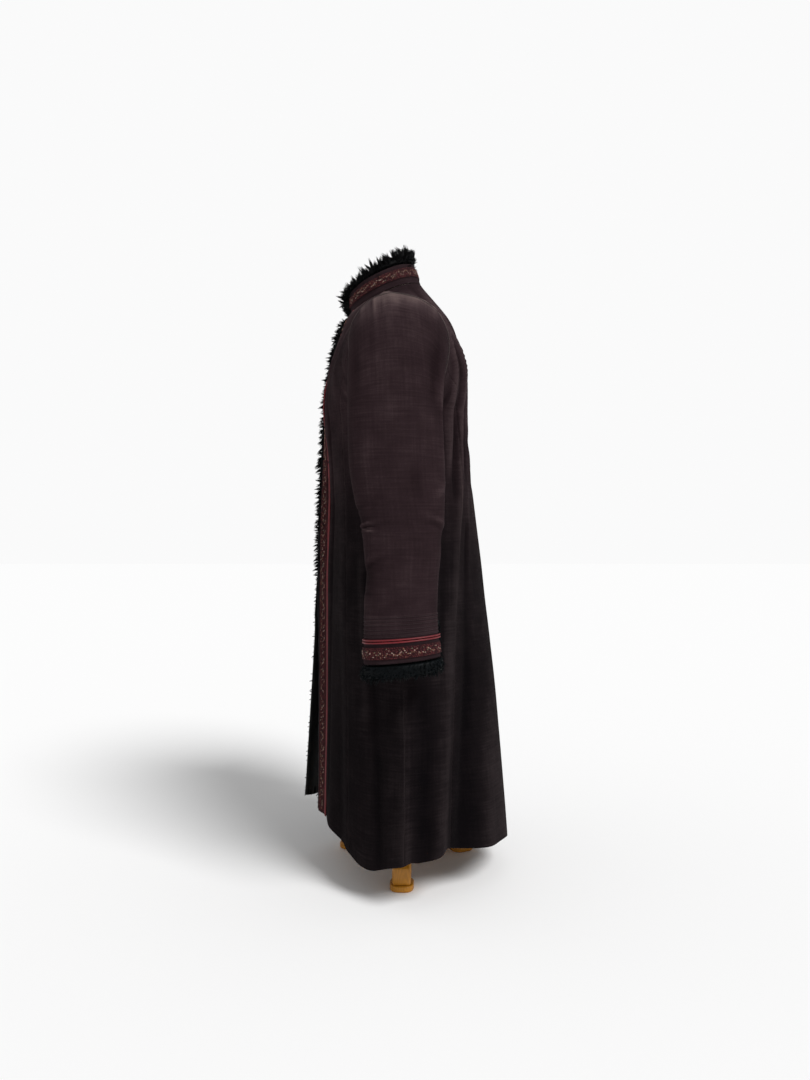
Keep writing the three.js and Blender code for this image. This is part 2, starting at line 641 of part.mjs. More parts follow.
const openSlit = (columns, k, fromStart, toEnd) => columns.map((angle, j) => {
  const shift = slitDegrees(k);
  if (fromStart && j === 0) {
    return angle + shift;
  }
  return toEnd && j === columns.length - 1 ? angle - shift : angle;
});

for (const side of ['left', 'right']) {
  const right = side === 'right';
  const grid = (columns, fromStart, toEnd) => SLEEVE_ROWS.map((k) => (
    openSlit(columns, k, fromStart, toEnd).map((angle) => sleeveCell(angle, k))));
  const upper = drawnIn(grid(UPPER_COLUMNS, true, false), false);
  addMesh(`sleeve_upper_${side}`, slab(upper, 0, -WALL, right), COLOURS.cloth);
  const under = drawnIn(grid(UNDER_COLUMNS, false, true), false);
  addMesh(`sleeve_under_${side}`, slab(under, 0, -WALL, right), COLOURS.cloth);

  const round = [...UPPER_COLUMNS, ...UNDER_COLUMNS.slice(1)];
  const band = (heights) => heights.map(ringAtHeight).map((k) => (
    openSlit(round, k, true, true).map((angle) => sleeveCell(angle, k))));
  addMesh(`braid_cuff_${side}`, slab(drawnIn(band(CUFF_BRAID), false), GAP + BRAID_RISE, GAP, right),
    COLOURS.braid);

  const [pipeTop, pipeLow] = CUFF_PIPING;
  const pipeRows = between(pipeTop, pipeLow, PIPING_PROFILE.length - 1);
  const pipe = band(pipeRows);
  pipe.forEach((row, i) => row.forEach((one) => {
    one.base = one.p.clone().addScaledVector(one.n, PIPING_BASE);
    one.p.addScaledVector(one.n, PIPING_BASE + PIPING_PROFILE[i] * PIPING_RISE);
  }));
  const tops = pipe.map((row) => row.map((one) => one.p));
  const outlines = round.map((_, j) => (
    [...tops.map((row) => row[j]), pipe.at(-1)[j].base, pipe[0][j].base]));
  const ridge = PIPING_PROFILE.map((part, i) => [i, part + 0.1]);
  const profile = [...ridge, [PIPING_PROFILE.length - 1, 0], [0, 0]];
  addMesh(`piping_cuff_${side}`, sweep(outlines, profile, false, right), COLOURS.piping);

  const furSections = openSlit(round, CUFF, true, true).map((angle) => {
    const edge = sleeveCell(angle, CUFF);
    const inner = 1 - 0.55 * ease(-Math.cos(radians(angle)), 0, 1);
    return CUFF_FUR.map(([out, up]) => {
      const hanging = up <= 0;
      const at = hanging ? edge : sleeveCell(angle, ringAtHeight(up));
      const p = at.p.clone().addScaledVector(at.n, out > 0 ? out * inner : out);
      p.z += hanging ? up : 0;
      return p;
    });
  });
  addMesh(`fur_cuff_${side}`, sweep(furSections, CUFF_FUR, true, right), COLOURS.fur);

  const slitHeights = CUFF_ROWS.filter((h) => h < SLIT_LENGTH - SLIT_TAPER);
  const slitRows = slitHeights.map((h) => ringAtHeight(Math.max(h, 2 * GAP)));
  const strip = slitRows.map((k) => {
    const reach = slitDegrees(k) * 0.86;
    return [-reach, 0, reach].map((turn) => sleeveCell(BACK_SEAM_AT + turn, k));
  });
  addMesh(`fur_slit_${side}`, slab(strip, 2.4, -WALL + 0.3, right), COLOURS.fur);
}

// ---- Collar -------------------------------------------------------------------------------------
const COLLAR_ANGLES = between(COLLAR_OPENING, 360 - COLLAR_OPENING, 32);
const collar = (angle, h) => neckRing(NECK, angle).lerp(neckRing(COLLAR_TOP, angle), h);
const collarNormal = (angle) => normalOf(collar, angle, 0.5, ANY_ANGLE, [0, 1], 0.1);
const collarHeight = (angle) => collar(angle, 0).distanceTo(collar(angle, 1));

/** A row of the collar, `mm` above the neck seam; Infinity is its top edge. */
const collarRow = (mm) => COLLAR_ANGLES.map((angle) => {
  const h = mm === Infinity ? 1 : mm / collarHeight(angle);
  return { p: collar(angle, h), n: collarNormal(angle) };
});
const collarBraidRows = [COLLAR_BRAID_FROM, COLLAR_BRAID_FROM + BRAID_WIDTH].map(collarRow);
const collarRows = [collarRow(COLLAR_LIFT), ...collarBraidRows, collarRow(Infinity)];
addMesh('collar', slab(collarRows, 0, -WALL), COLOURS.cloth);
addMesh('braid_collar', slab(drawnIn(collarBraidRows, false), GAP + BRAID_RISE, GAP), COLOURS.braid);

/** The collar fur's outline at a place past the collar's end, or along it where past is 0. */
function collarFurOutline(angle, past, outline) {
  const n = collarNormal(angle);
  const top = collar(angle, 1);
  const up = top.clone().sub(collar(angle, 0)).normalize();
  const turn = angle < 180 ? -1 : 1;
  const ahead = collar(angle + turn, 1).sub(top).normalize();
  const tall = 0.78 - 0.25 * Math.cos(radians(angle));
  return outline.map(([out, rise]) => {
    const p = top.clone().addScaledVector(n, out).addScaledVector(ahead, past);
    p.addScaledVector(up, rise > 1 ? rise * tall : rise);
    if (past > 0) {
      p.x = turn < 0 ? Math.max(p.x, GAP / 2) : Math.min(p.x, -GAP / 2);
    }
    return p;
  });
}
const halfway = COLLAR_FUR.map(([out, up], i) => {
  const [endOut, endUp] = COLLAR_FUR_END[i];
  return [(out + endOut) / 2, (up + endUp) / 2];
});
const collarEnd = (angle) => [
  collarFurOutline(angle, COLLAR_FUR_PAST, COLLAR_FUR_END),
  collarFurOutline(angle, 2 * GAP, halfway),
  collarFurOutline(angle, GAP, COLLAR_FUR),
];
const collarFur = [
  ...collarEnd(COLLAR_ANGLES[0]),
  ...COLLAR_ANGLES.slice(1, -1).map((angle) => collarFurOutline(angle, 0, COLLAR_FUR)),
  ...collarEnd(COLLAR_ANGLES.at(-1)).reverse(),
];
addMesh('fur_collar', sweep(collarFur, COLLAR_FUR), COLOURS.fur);

// ---- Front fur ----------------------------------------------------------------------------------
// The fur's inner band, at the front's own columns: distance from the edge, and depth there.
const FUR_BAND = [
  { from: PIPING_FROM + PIPING_WIDTH, depth: 4 }, { from: PIPING_FROM, depth: 6.5 },
  { from: BRAID_WIDTH, depth: 7 }, { from: BRAID_WIDTH / 2, depth: 8.5 },
];

/** The front fur's outline on row w: a band inside the edge that wraps it and stands out past it. */
function frontFurOutline(w, right) {
  const proud = FUR_PROUD + (FUR_PROUD_AT_NECK - FUR_PROUD) * ease(w, UNDERARM, FUR_TOP);
  const open = 1 - ease(w, CLOSED_FROM - 0.5, CLOSED_FROM + 0.2);
  const at = (mm) => cell(fromEdge(mm, w, right), w, 'front', right);
  const off = (place, depth) => place.p.clone().addScaledVector(place.n, depth);
  const edge = at(0);
  const ahead = edge.p.clone().sub(at(3).p).normalize();
  const past = (distance, depth) => off(edge, depth).addScaledVector(ahead, distance);
  const meeting = (x, forward) => new THREE.Vector3(x, edge.p.y - forward, edge.p.z);
  const closedSide = (p) => {
    p.x = Math.max(p.x, GAP / 2);
    return p;
  };
  const band = FUR_BAND.map(({ from }) => at(from));
  return [
    ...band.map((place) => off(place, -WALL - GAP)).reverse(),
    ...band.map((place, i) => closedSide(off(place, -WALL - FUR_BAND[i].depth))),
    closedSide(meeting(GAP / 2, proud * 0.4).lerp(past(2, -WALL - 8), open)),
    closedSide(meeting(GAP / 2, proud).lerp(past(proud, -WALL - 5), open)),
    closedSide(meeting(edge.p.x * 0.7, proud).lerp(past(proud, -1), open)),
    closedSide(meeting(edge.p.x, proud * 0.5).lerp(past(proud * 0.6, 1.5), open)),
    closedSide(past(0.4, 1)),
    closedSide(past(0.4, -WALL - GAP)),
  ];
}
const FRONT_FUR_CAP = [
  [-9, -3], [-19, -3], [-22, -3], [-28, -3], [-28, -7], [-22, -9], [-19, -10], [-9, -11],
  [2, -11], [9, -8], [9, -1], [5, 1.5], [0.4, 1], [0.4, -3],
]; // the outline laid flat, for its two ends
for (const side of ['left', 'right']) {
  const right = side === 'right';
  const rows = [...SKIRT_ROWS, ...YOKE_ROWS.filter((w) => w < FUR_TOP), FUR_TOP];
  const outlines = rows.map((w) => frontFurOutline(w, right));
  addMesh(`fur_front_${side}`, sweep(outlines, FRONT_FUR_CAP, false, right), COLOURS.fur);
}

// ---- Dress form ---------------------------------------------------------------------------------
/** A point round one half of the form below the underarm: place 0 is the front, 1 the back. */
function formRing(place, k) {
  const column = (name) => spline(FORM_RINGS.map((r) => r[name]), k);
  const turn = radians(180 * place);
  const middle = (column('front') + column('back')) / 2;
  const reach = (column('back') - column('front')) / 2;
  return new THREE.Vector3(column('half') * Math.sin(turn), middle - reach * Math.cos(turn), column('z'));
}

const FORM_SEAT = WALL + GAP + 0.5; // the coat hangs this far over the form's shoulders
const formArm = (degrees) => {
  const p = armholeAt(degrees);
  const top = 0.5 + 0.5 * Math.cos(radians(degrees));
  const narrowed = -16 + (p.y + 16) * (0.78 + 0.1 * top);
  return new THREE.Vector3(p.x - 12 - 10 * (1 - top), narrowed, p.z - 4 * top);
};
const lastRing = FORM_RINGS.length - 1;
const ARM_FRONT = 0.42; // where the armhole's plate begins and ends round the underarm ring
const ARM_BACK = 0.52;
const CHEST_SWELL = 16; // of the form's breastbone and spine over a straight line to the neck
const SPINE_SWELL = 26;
const formYoke = {
  front: {
    fullness: NO_FULLNESS,
    low: (a) => formRing(ARM_FRONT * a, lastRing),
    high: (a) => (a < 0.5 ? neckRing(FORM_NECK, 180 * a)
      : neckRing(FORM_NECK, 90).lerp(formArm(0), 2 * a - 1)),
    start: (b) => formRing(0, lastRing).lerp(neckRing(FORM_NECK, 0), b)
      .add(new THREE.Vector3(0, -CHEST_SWELL * Math.sin(Math.PI * b), 0)),
    end: (b) => formRing(ARM_FRONT, lastRing).lerp(formArm(180 * (1 - b)), ease(b, 0, 0.3)),
  },
  back: {
    armAtStart: true,
    fullness: NO_FULLNESS,
    low: (a) => formRing(ARM_BACK + (1 - ARM_BACK) * a, lastRing),
    high: (a) => (a < 0.5 ? formArm(0).lerp(neckRing(FORM_NECK, 90), 2 * a)
      : neckRing(FORM_NECK, 180 * a)),
    start: (b) => formRing(ARM_BACK, lastRing).lerp(formArm(180 * (1 + b)), ease(b, 0, 0.3)),
    end: (b) => formRing(1, lastRing).lerp(neckRing(FORM_NECK, 180), b)
      .add(new THREE.Vector3(0, SPINE_SWELL * Math.sin(Math.PI * b), 0)),
  },
};

/** The form's yoke: its own shape low down, and the coat's inner face where the shoulders carry it. */
function formShoulder(half, a, b) {
  const own = patch(formYoke[half], a, b);
  const u = half === 'front' ? 3 * a : 3 + 2 * a;
  const w = UNDERARM + Math.max(b, 0.01);
  const towardsArm = half === 'front' ? a : 1 - a;
  const carried = ease(b, 0.72, 0.92) * ease(towardsArm, 0.52, 0.66);
  const under = coat(u, w, half).addScaledVector(coatNormal(u, w, half), -FORM_SEAT);
  return own.lerp(under, carried);
}

const formFront = (w) => frontPlaces(w, 3, false).map((u) => u / 3);
const formBack = between(0, 1, BACK_COLUMNS);
const mirrorX = (p) => new THREE.Vector3(-p.x, p.y, p.z);
const closedRing = (points) => [...points, ...points.slice(1, -1).reverse().map(mirrorX)];
const ringPlaces = [
  ...formFront(UNDERARM).map((a) => a * ARM_FRONT),
  ...formBack.map((a) => ARM_BACK + (1 - ARM_BACK) * a),
];
const formRows = [
  ...[0, 0.7, 1.4, 2, 2.6, 3.2].map((k) => closedRing(ringPlaces.map((place) => formRing(place, k)))),
  ...[UNDERARM, ...YOKE_ROWS].map((w) => closedRing([
    ...formFront(w).map((a) => formShoulder('front', a, w - UNDERARM)),
    ...formBack.map((a) => formShoulder('back', a, w - UNDERARM)),
  ])),
];

function formGeometry() {
  const count = formRows[0].length;
  const points = formRows.flat();
  const triangles = [];
  const at = (i, j) => i * count + (j % count);
  for (let i = 0; i < formRows.length - 1; i += 1) {
    for (let j = 0; j < count; j += 1) {
      triangles.push([at(i, j), at(i, j + 1), at(i + 1, j + 1)]);
      triangles.push([at(i, j), at(i + 1, j + 1), at(i + 1, j)]);
    }
  }
  // The underside, then the neck stump over the neckline that the last row leaves open.
  points.push(new THREE.Vector3(0, 0, FORM_BOTTOM));
  for (let j = 0; j < count; j += 1) {
    triangles.push([at(0, j + 1), at(0, j), points.length - 1]);
  }
  const last = formRows.length - 1;
  const neckline = [...formFront(TOP).map((a) => a <= 0.5), ...formBack.map((a) => a > 0.5)];
  const leftNeck = neckline.map((onNeck, j) => (onNeck ? j : -1)).filter((j) => j >= 0);
  const rightNeck = leftNeck.slice(1, -1).reverse().map((j) => count - j);
  const loop = [...leftNeck, ...rightNeck].map((j) => at(last, j));
  const stump = loop.map((j) => {
    points.push(new THREE.Vector3(points[j].x * 0.97, points[j].y, FORM_NECK_TOP));
    return points.length - 1;
  });
  points.push(new THREE.Vector3(0, FORM_NECK.y, FORM_NECK_TOP));
  const crown = points.length - 1;
  loop.forEach((j, i) => {
    const next = (i + 1) % loop.length;
    triangles.push([j, loop[next], stump[next]], [j, stump[next], stump[i]]);
    triangles.push([stump[i], stump[next], crown]);
  });
  const geometry = mergeVertices(solid(points, triangles), 1e-3);
  const faces = Array.from(geometry.getIndex().array);
  const kept = [];
  for (let i = 0; i < faces.length; i += 3) {
    const [a, b, c] = faces.slice(i, i + 3);
    if (a !== b && b !== c && c !== a) {
      kept.push(a, b, c);
    }
  }
  geometry.setIndex(kept);
  return outward(geometry);
}
addMesh('dress_form', formGeometry(), COLOURS.form);

// ---- Stand --------------------------------------------------------------------------------------
const poleLength = FORM_BOTTOM - GAP - (HUB_TO + GAP);
const rod = new THREE.CylinderGeometry(POLE_RADIUS, POLE_RADIUS, poleLength, 16);
const pole = addMesh('pole', rod, COLOURS.steel, 0.9);
pole.rotation.x = Math.PI / 2;
pole.position.z = HUB_TO + GAP + poleLength / 2;

const hubRadius = HUB_INRADIUS / Math.cos(Math.PI / 6);
const block = new THREE.CylinderGeometry(hubRadius, hubRadius, HUB_TO - HUB_FROM, 6);
const hub = addMesh('hub', block, COLOURS.wood);
hub.rotation.set(Math.PI / 2, radians(LEG_TURN), 0, 'XYZ');
hub.position.z = (HUB_FROM + HUB_TO) / 2;

/** A plate of the given outline, `depth` thick, its edges cut back by `bevel`. */
function plate(shape, depth, bevel) {
  const options = {
    depth: depth - 2 * bevel,
    bevelThickness: bevel,
    bevelSize: bevel,
    bevelOffset: -bevel,
    bevelSegments: 1,
    curveSegments: 3,
  };
  const geometry = new THREE.ExtrudeGeometry(shape, options).translate(0, 0, bevel);
  geometry.deleteAttribute('normal');
  geometry.deleteAttribute('uv');
  return mergeVertices(geometry, 1e-4);
}

for (let i = 0; i < LEG_COUNT; i += 1) {
  const turned = new THREE.Group();
  turned.rotation.z = radians(LEG_TURN + (360 / LEG_COUNT) * i);
  group.add(turned);

  const legShape = new THREE.Shape(LEG_PROFILE.map(([r, z]) => new THREE.Vector2(r, z)));
  const leg = addMesh(`leg_${i + 1}`, plate(legShape, LEG_WIDTH, LEG_BEVEL), COLOURS.wood);
  leg.rotation.x = Math.PI / 2;
  leg.position.y = LEG_WIDTH / 2;

  const { from, to, width, height, corner, bevel } = PAD;
  const foot = new THREE.Shape();
  foot.moveTo(from + corner, -width / 2);
  foot.lineTo(to - corner, -width / 2);
  foot.absarc(to - corner, -width / 2 + corner, corner, -Math.PI / 2, 0);
  foot.absarc(to - corner, width / 2 - corner, corner, 0, Math.PI / 2);
  foot.absarc(from + corner, width / 2 - corner, corner, Math.PI / 2, Math.PI);
  foot.absarc(from + corner, -width / 2 + corner, corner, Math.PI, 1.5 * Math.PI);
  const pad = addMesh(`foot_pad_${i + 1}`, plate(foot, height, bevel), COLOURS.wood);
  turned.add(leg, pad);
}

export default group;
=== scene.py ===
"""A long fur-edged coat of dark velveteen cord, worn by a limbless dress form on a wooden stand.

The coat's surface is a function of two numbers. `u` runs round one half of the coat, from the
centre front edge (0) through the front seam (2), side seam (3) and back seam (4) to the centre
back (5). `w` runs up it: 0 is the hem, 5 the underarm, and from 5 to 6 a front and a back yoke
close up to the neck seam and shoulder seam. Sizes are in millimetres, and `mesh_object` turns
them into metres.
"""
import math

import bmesh
import bpy
import numpy as np
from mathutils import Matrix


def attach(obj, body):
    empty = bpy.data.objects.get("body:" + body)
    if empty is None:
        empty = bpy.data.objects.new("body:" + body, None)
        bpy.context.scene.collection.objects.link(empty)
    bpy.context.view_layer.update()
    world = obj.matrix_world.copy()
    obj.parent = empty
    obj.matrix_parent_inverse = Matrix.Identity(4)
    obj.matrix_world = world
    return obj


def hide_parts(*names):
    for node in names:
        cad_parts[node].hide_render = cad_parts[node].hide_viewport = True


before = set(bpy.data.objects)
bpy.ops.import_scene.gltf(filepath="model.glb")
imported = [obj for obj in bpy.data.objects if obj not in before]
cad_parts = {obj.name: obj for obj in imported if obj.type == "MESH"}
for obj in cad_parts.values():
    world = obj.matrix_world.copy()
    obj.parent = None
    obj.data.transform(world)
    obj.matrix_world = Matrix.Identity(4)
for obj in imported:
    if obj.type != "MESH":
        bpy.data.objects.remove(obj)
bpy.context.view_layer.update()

# ---- Cloth and trim ------------------------------------------------------------------------
MM = 0.001
WALL = 2.6
GAP = 0.3
BRAID_RISE = 1.5
BRAID_WIDTH = 19
BRAID_INSET = 0.8
PIPING_FROM = 21.5
PIPING_WIDTH = 6.8
CORD_RADIUS = 1.4
CORD_PLACES = (0.21, 0.79)  # across the piping

# ---- Body sections, left half: [x, y, z] on each line down the coat, a row for each height ----
SECTIONS = np.array([
    # edge, keel, front seam, side seam, back seam, centre back
    [[46, -167, 115], [62, -152, 111], [160, -104, 80], [242, -1, 80], [188, 76, 87], [0, 195, 52]],
    [[31, -167, 270], [48, -150, 270], [147, -105, 270],
     [224, 0, 270], [171, 80, 270], [0, 179, 270]],
    [[15, -168, 440], [32, -150, 440], [131, -108, 440],
     [209, -4, 440], [147, 86, 440], [0, 164, 440]],
    [[12, -168, 580], [30, -150, 580], [121, -109, 580],
     [195, -8, 580], [127, 93, 580], [0, 148, 580]],
    [[12, -165, 720], [29, -147, 720], [110, -112, 720],
     [185, -13, 720], [108, 102, 720], [0, 133, 720]],
    [[13, -156, 880], [38, -153, 880], [96, -120, 880],
     [178, -18, 880], [97, 100, 880], [0, 120, 880]],
], float)
# The right front hangs further forward where the coat falls open (hem, knee and thigh rows).
RIGHT_FRONT = np.array([
    [[50, -203, 115], [70, -187, 112]],
    [[35, -192, 270], [55, -175, 270]],
    [[17, -179, 440], [35, -162, 440]],
], float)
UNDERARM = len(SECTIONS) - 1
TOP = UNDERARM + 1

# The centre lines of the front and back from the underarm to the neck: y and z.
FRONT_RISE = [[-156, 880], [-151, 932], [-143, 975], [-131, 1021], [-118, 1064], [-107, 1082.5]]
BACK_RISE = [[120, 880], [119, 932], [116, 975], [108, 1026], [87, 1080], [32, 1144]]
ARMHOLE = np.array([
    [206, -25, 1070], [203, -66, 1054], [199, -91, 1023], [192, -99, 985], [185, -92, 930],
    [180, -62, 893], [178, -18, 880], [180, 30, 888], [184, 62, 915], [190, 77, 960],
    [196, 74, 1008], [202, 42, 1052],
], float)
ARMHOLE_PULL = 2.2  # how soon a yoke leaves the armhole's turn
CORNER_REACH = 5  # how near the top a yoke's corner keeps its point
CHEST_FULLNESS = ((3, -7, 1), (0, 0, 0))  # halfway up a yoke, and where it slopes to the shoulder
BLADE_FULLNESS = ((0, 14, 4), (0, 7, 20))

NECK = dict(half=75, deep=70, y=-38, z=1113, slope=31)
COLLAR_TOP = dict(half=68, deep=64, y=-46, z=1154, slope=29)
COLLAR_OPENING = 10
COLLAR_LIFT = 1.2
COLLAR_BRAID_FROM = 14

# Folds that stand out of the skirt (+) or fall in (-): place, width, depth at the hem, top, and
# how far the fold wanders round the coat as it rises.
SKIRT_FOLDS = [
    (1.35, 0.22, 7, 4.2, 0), (1.75, 0.16, -5, 3.2, 0),
    (2.5, 0.22, -6, 2.4, 0), (3.0, 0.12, 6, 2.2, 0),
    (3.4, 0.16, -9, 2.8, 0), (3.55, 0.4, 9, 5, 0),
    (3.7, 0.13, 9, 4.6, 0.075), (4.15, 0.17, -9, 3.2, 0.05),
    (4.48, 0.5, 18, 5, 0), (4.45, 0.1, 5, 1.8, 0), (4.65, 0.14, 6, 2.2, 0),
]
# Waves of the hem, which lift it (+) or let it down (-): place, width, rise at the hem.
HEM_WAVES = [(2.38, 0.28, -18), (3.12, 0.2, 9), (3.85, 0.25, 12), (4.68, 0.2, 13)]
HEM_WAVE_TOP = 1.2
SEAM_END = 0.97
FRONT_SEAM_U = 2
SIDE_SEAM_U = 3
BACK_SEAM_U = 4
CENTRE_BACK_U = 5
PAST_BACK_U = 7  # as far as a place may go past the centre back
SEAM_TURN = 0.5  # above the underarm by this, the princess seams have met the side seam
PROBE = 0.02  # the step along u and w that a normal is worked out from

# ---- Sleeve: z, x, front, back, thick, tilt, from the underarm to the cuff edge ---------------
SLEEVE_RINGS = np.array([
    [865, 237, -98, 67, 46, 0], [795, 239, -97, 68, 46, 0], [741, 241, -92, 68, 45, 0],
    [678, 244, -80, 67, 44, 0], [636, 247, -71, 64, 42, 0], [565, 252, -69, 56, 40, 1],
    [500, 257, -69, 55, 39, 4], [438, 262, -69, 60, 38, 6.5],
], float)
CUFF = len(SLEEVE_RINGS) - 1
FRONT_SEAM_AT = 118
BACK_SEAM_AT = -92
SLIT_LENGTH = 100
SLIT_TAPER = 25
SLIT_WIDTH = 7.6
SLEEVE_LIFT = 1.9
CUFF_BRAID = (8, 27)  # above the cuff edge, from and to
CUFF_PIPING = (33, 40)
TUCK_HEIGHTS = (45, 51, 57, 64, 70, 76)  # pin tucks, above the cuff edge
TUCK_RISE = 0.8
TUCK_WIDTH = 1.1
TUCK_BAND = (44.0, 77.0)  # the band that the tucks' stitches are laid out on
TUCK_STITCH = dict(drop=1.6, pitch=3.4, long=2.4, wide=0.8)
HEAD_TUCKS = dict(spacing=20, count=5, rise=2.0, width=5, fade=0.55)


# ---- Numbers ----------------------------------------------------------------------------------
def ease(x, low, high):
    """0 below low, 1 above high, and a smooth step between them."""
    t = np.clip((np.asarray(x, float) - low) / (high - low), 0, 1)
    return t * t * (3 - 2 * t)


def bump(x, middle, width):
    return np.exp(-(((x - middle) / width) ** 2))


def unit(v):
    return v / np.maximum(np.linalg.norm(v, axis=-1, keepdims=True), 1e-12)


def spline(values, k):
    """The values at places k of a smooth line through equally spaced rows of values."""
    values = np.asarray(values, float)
    k = np.asarray(k, float)
    i = np.clip(np.floor(k).astype(int), 0, len(values) - 2)
    f = (k - i).reshape(k.shape + (1,) * (values.ndim - 1))
    a, b, c, d = (values[np.clip(i + step, 0, len(values) - 1)] for step in (-1, 0, 1, 2))
    return b + 0.5 * f * (c - a + f * (2 * a - 5 * b + 4 * c - d + f * (3 * (b - c) + d - a)))


def curve(points, k, closed=False):
    """The point at place k[i] on the centripetal curve through points[i]."""
    rows = np.arange(len(k))
    count = points.shape[1]
    if closed:
        i = np.floor(k).astype(int)
        a, b, c, d = (points[rows, (i + step) % count] for step in (-1, 0, 1, 2))
    else:
        i = np.clip(np.floor(k).astype(int), 0, count - 2)
        before = 2 * points[:, :1] - points[:, 1:2]
        after = 2 * points[:, -1:] - points[:, -2:-1]
        longer = np.concatenate([before, points, after], axis=1)
        a, b, c, d = (longer[rows, i + step] for step in range(4))
    f = (k - i)[:, None]
    spans = [np.sqrt(np.linalg.norm(q - p, axis=1))[:, None] for p, q in ((a, b), (b, c), (c, d))]
    s0, s1, s2 = (np.maximum(s, 1e-4) for s in spans)
    leave = ((b - a) / s0 - (c - a) / (s0 + s1) + (c - b) / s1) * s1
    arrive = ((c - b) / s1 - (d - b) / (s1 + s2) + (d - c) / s2) * s1
    turn = 3 * (c - b) - 2 * leave - arrive
    return b + f * (leave + f * (turn + f * (2 * (b - c) + leave + arrive)))


# ---- The coat's surface -----------------------------------------------------------------------
def armhole_at(degrees):
    k = np.mod(degrees, 360) / 360 * len(ARMHOLE)
    return curve(np.broadcast_to(ARMHOLE, (len(k), *ARMHOLE.shape)), k, closed=True)


def neck_ring(ring, angle):
    """A point on a neck-like ring, `angle` degrees round from the centre front."""
    turn = np.radians(angle)
    return np.stack([
        ring["half"] * np.sin(turn),
        ring["y"] - ring["deep"] * np.cos(turn),
        ring["z"] - ring["slope"] * np.cos(turn),
    ], axis=-1)


def fold_height(u, w, widest=9.0):
    """How far the skirt's folds, up to a width, stand out."""
    height = 0 * (u + w)
    for middle, width, depth, top, drift in SKIRT_FOLDS:
        if width < widest:
            height = height + depth * bump(u, middle + drift * w, width) * (1 - ease(w, 0, top))
    return height


def skirt(u, w, right):
    """Points of the skirt and bodice below the underarm, with its folds."""
    rows = SECTIONS.copy()
    if right:
        rows[:len(RIGHT_FRONT), :2] = RIGHT_FRONT
    points = spline(rows, w)
    past = points[:, 4:5] * (-1, 1, 1)
    ring = np.concatenate([points, past], axis=1)

    def place(k):
        return curve(ring, np.clip(k, 0, ring.shape[1] - 1))

    p = place(u)
    along = place(u + PROBE) - place(u - PROBE)
    out = unit(np.stack([along[:, 1], -along[:, 0], 0 * u], axis=1))
    p = p + out * fold_height(u, w)[:, None]
    for middle, width, lift in HEM_WAVES:
        p[:, 2] += lift * bump(u, middle, width) * (1 - ease(w, 0, HEM_WAVE_TOP))
    return p


def smoothed(seam, a):
    """A smooth curve through both ends and the middle of a seam that has a corner there."""
    first, middle, last = (seam(np.full_like(a, at)) for at in (0, 0.5, 1))
    a = a[:, None]
    return first * 2 * (a - 0.5) * (a - 1) + middle * 4 * a * (1 - a) + last * 2 * a * (a - 0.5)


def patch(yoke, a, b):
    """The surface inside four border curves. Only what lies near the armhole follows its turn."""
    low, high, start, end = (yoke[name] for name in ("low", "high", "start", "end"))
    up = ease(b, 0, 1)[:, None]
    across = 1 - (1 - a) ** ARMHOLE_PULL if yoke["arm_first"] else a ** ARMHOLE_PULL
    across = across[:, None]
    corner = (b ** yoke["corner_reach"])[:, None]
    zero, one = np.zeros_like(a), np.ones_like(a)
    top = smoothed(high, a) * (1 - corner) + high(a) * corner
    p = low(a) * (1 - up) + top * up
    p = p + start(b) * (1 - across) + end(b) * across
    p = p - (low(zero) * (1 - across) + low(one) * across) * (1 - up)
    p = p - (high(zero) * (1 - across) + high(one) * across) * up
    middle, slope = (np.array(f, float) for f in yoke["fullness"])
    swell = np.sin(math.pi * a)
    p = p + middle * (swell * ease(b, 0, 0.5) * (1 - ease(b, 0.55, 1)))[:, None]
    return p + slope * (swell * np.sin(math.pi * b ** 2))[:, None]


def rise(points, x, t):
    yz = spline(points, t * (len(points) - 1))
    return np.stack([np.broadcast_to(x, t.shape), yz[:, 0], yz[:, 1]], axis=1)


NECK_SIDE = neck_ring(NECK, np.array([90.0]))
SHOULDER_POINT = ARMHOLE[:1]
EDGE_X = SECTIONS[UNDERARM, 0, 0]


def mix(p, q, share):
    return p + (q - p) * np.asarray(share)[:, None]


def front_yoke(right):
    def high(a):
        neck = neck_ring(NECK, COLLAR_OPENING + (90 - COLLAR_OPENING) * 2 * a)
        shoulder = mix(NECK_SIDE, SHOULDER_POINT, 2 * a - 1)
        return np.where((a < 0.5)[:, None], neck, shoulder)

    def start(b):
        corner = neck_ring(NECK, np.full_like(b, COLLAR_OPENING))
        return mix(rise(FRONT_RISE, EDGE_X, b), corner, ease(b, 0.9, 1))

    return dict(
        low=lambda a: skirt(3 * a, np.full_like(a, UNDERARM), right), high=high, start=start,
        end=lambda b: armhole_at(180 * (1 - b)), arm_first=False, corner_reach=0,
        fullness=CHEST_FULLNESS)


def back_high(a):
    shoulder = mix(SHOULDER_POINT, NECK_SIDE, 2 * a)
    return np.where((a < 0.5)[:, None], shoulder, neck_ring(NECK, 180 * a))


BACK_YOKE = dict(
    low=lambda a: skirt(3 + 2 * a, np.full_like(a, UNDERARM), False), high=back_high,
    start=lambda b: armhole_at(180 * (1 + b)), end=lambda b: rise(BACK_RISE, 0.0, b),
    arm_first=True, corner_reach=CORNER_REACH, fullness=BLADE_FULLNESS)


def coat(u, w, half, right):
    """The coat's outer surface. `half` says which yoke a place above the underarm belongs to."""
    p = skirt(u, np.minimum(w, UNDERARM), right)
    above = w > UNDERARM
    if above.any():
        a, b = u[above], w[above] - UNDERARM
        if half == "front":
            p[above] = patch(front_yoke(right), np.maximum(a, 0) / 3, b)
        else:
            place = (a - SIDE_SEAM_U) / 2
            folded = np.where(place > 1, 2 - place, place)
            q = patch(BACK_YOKE, folded, b)
            q[place > 1] *= (-1, 1, 1)
            p[above] = q
    return p


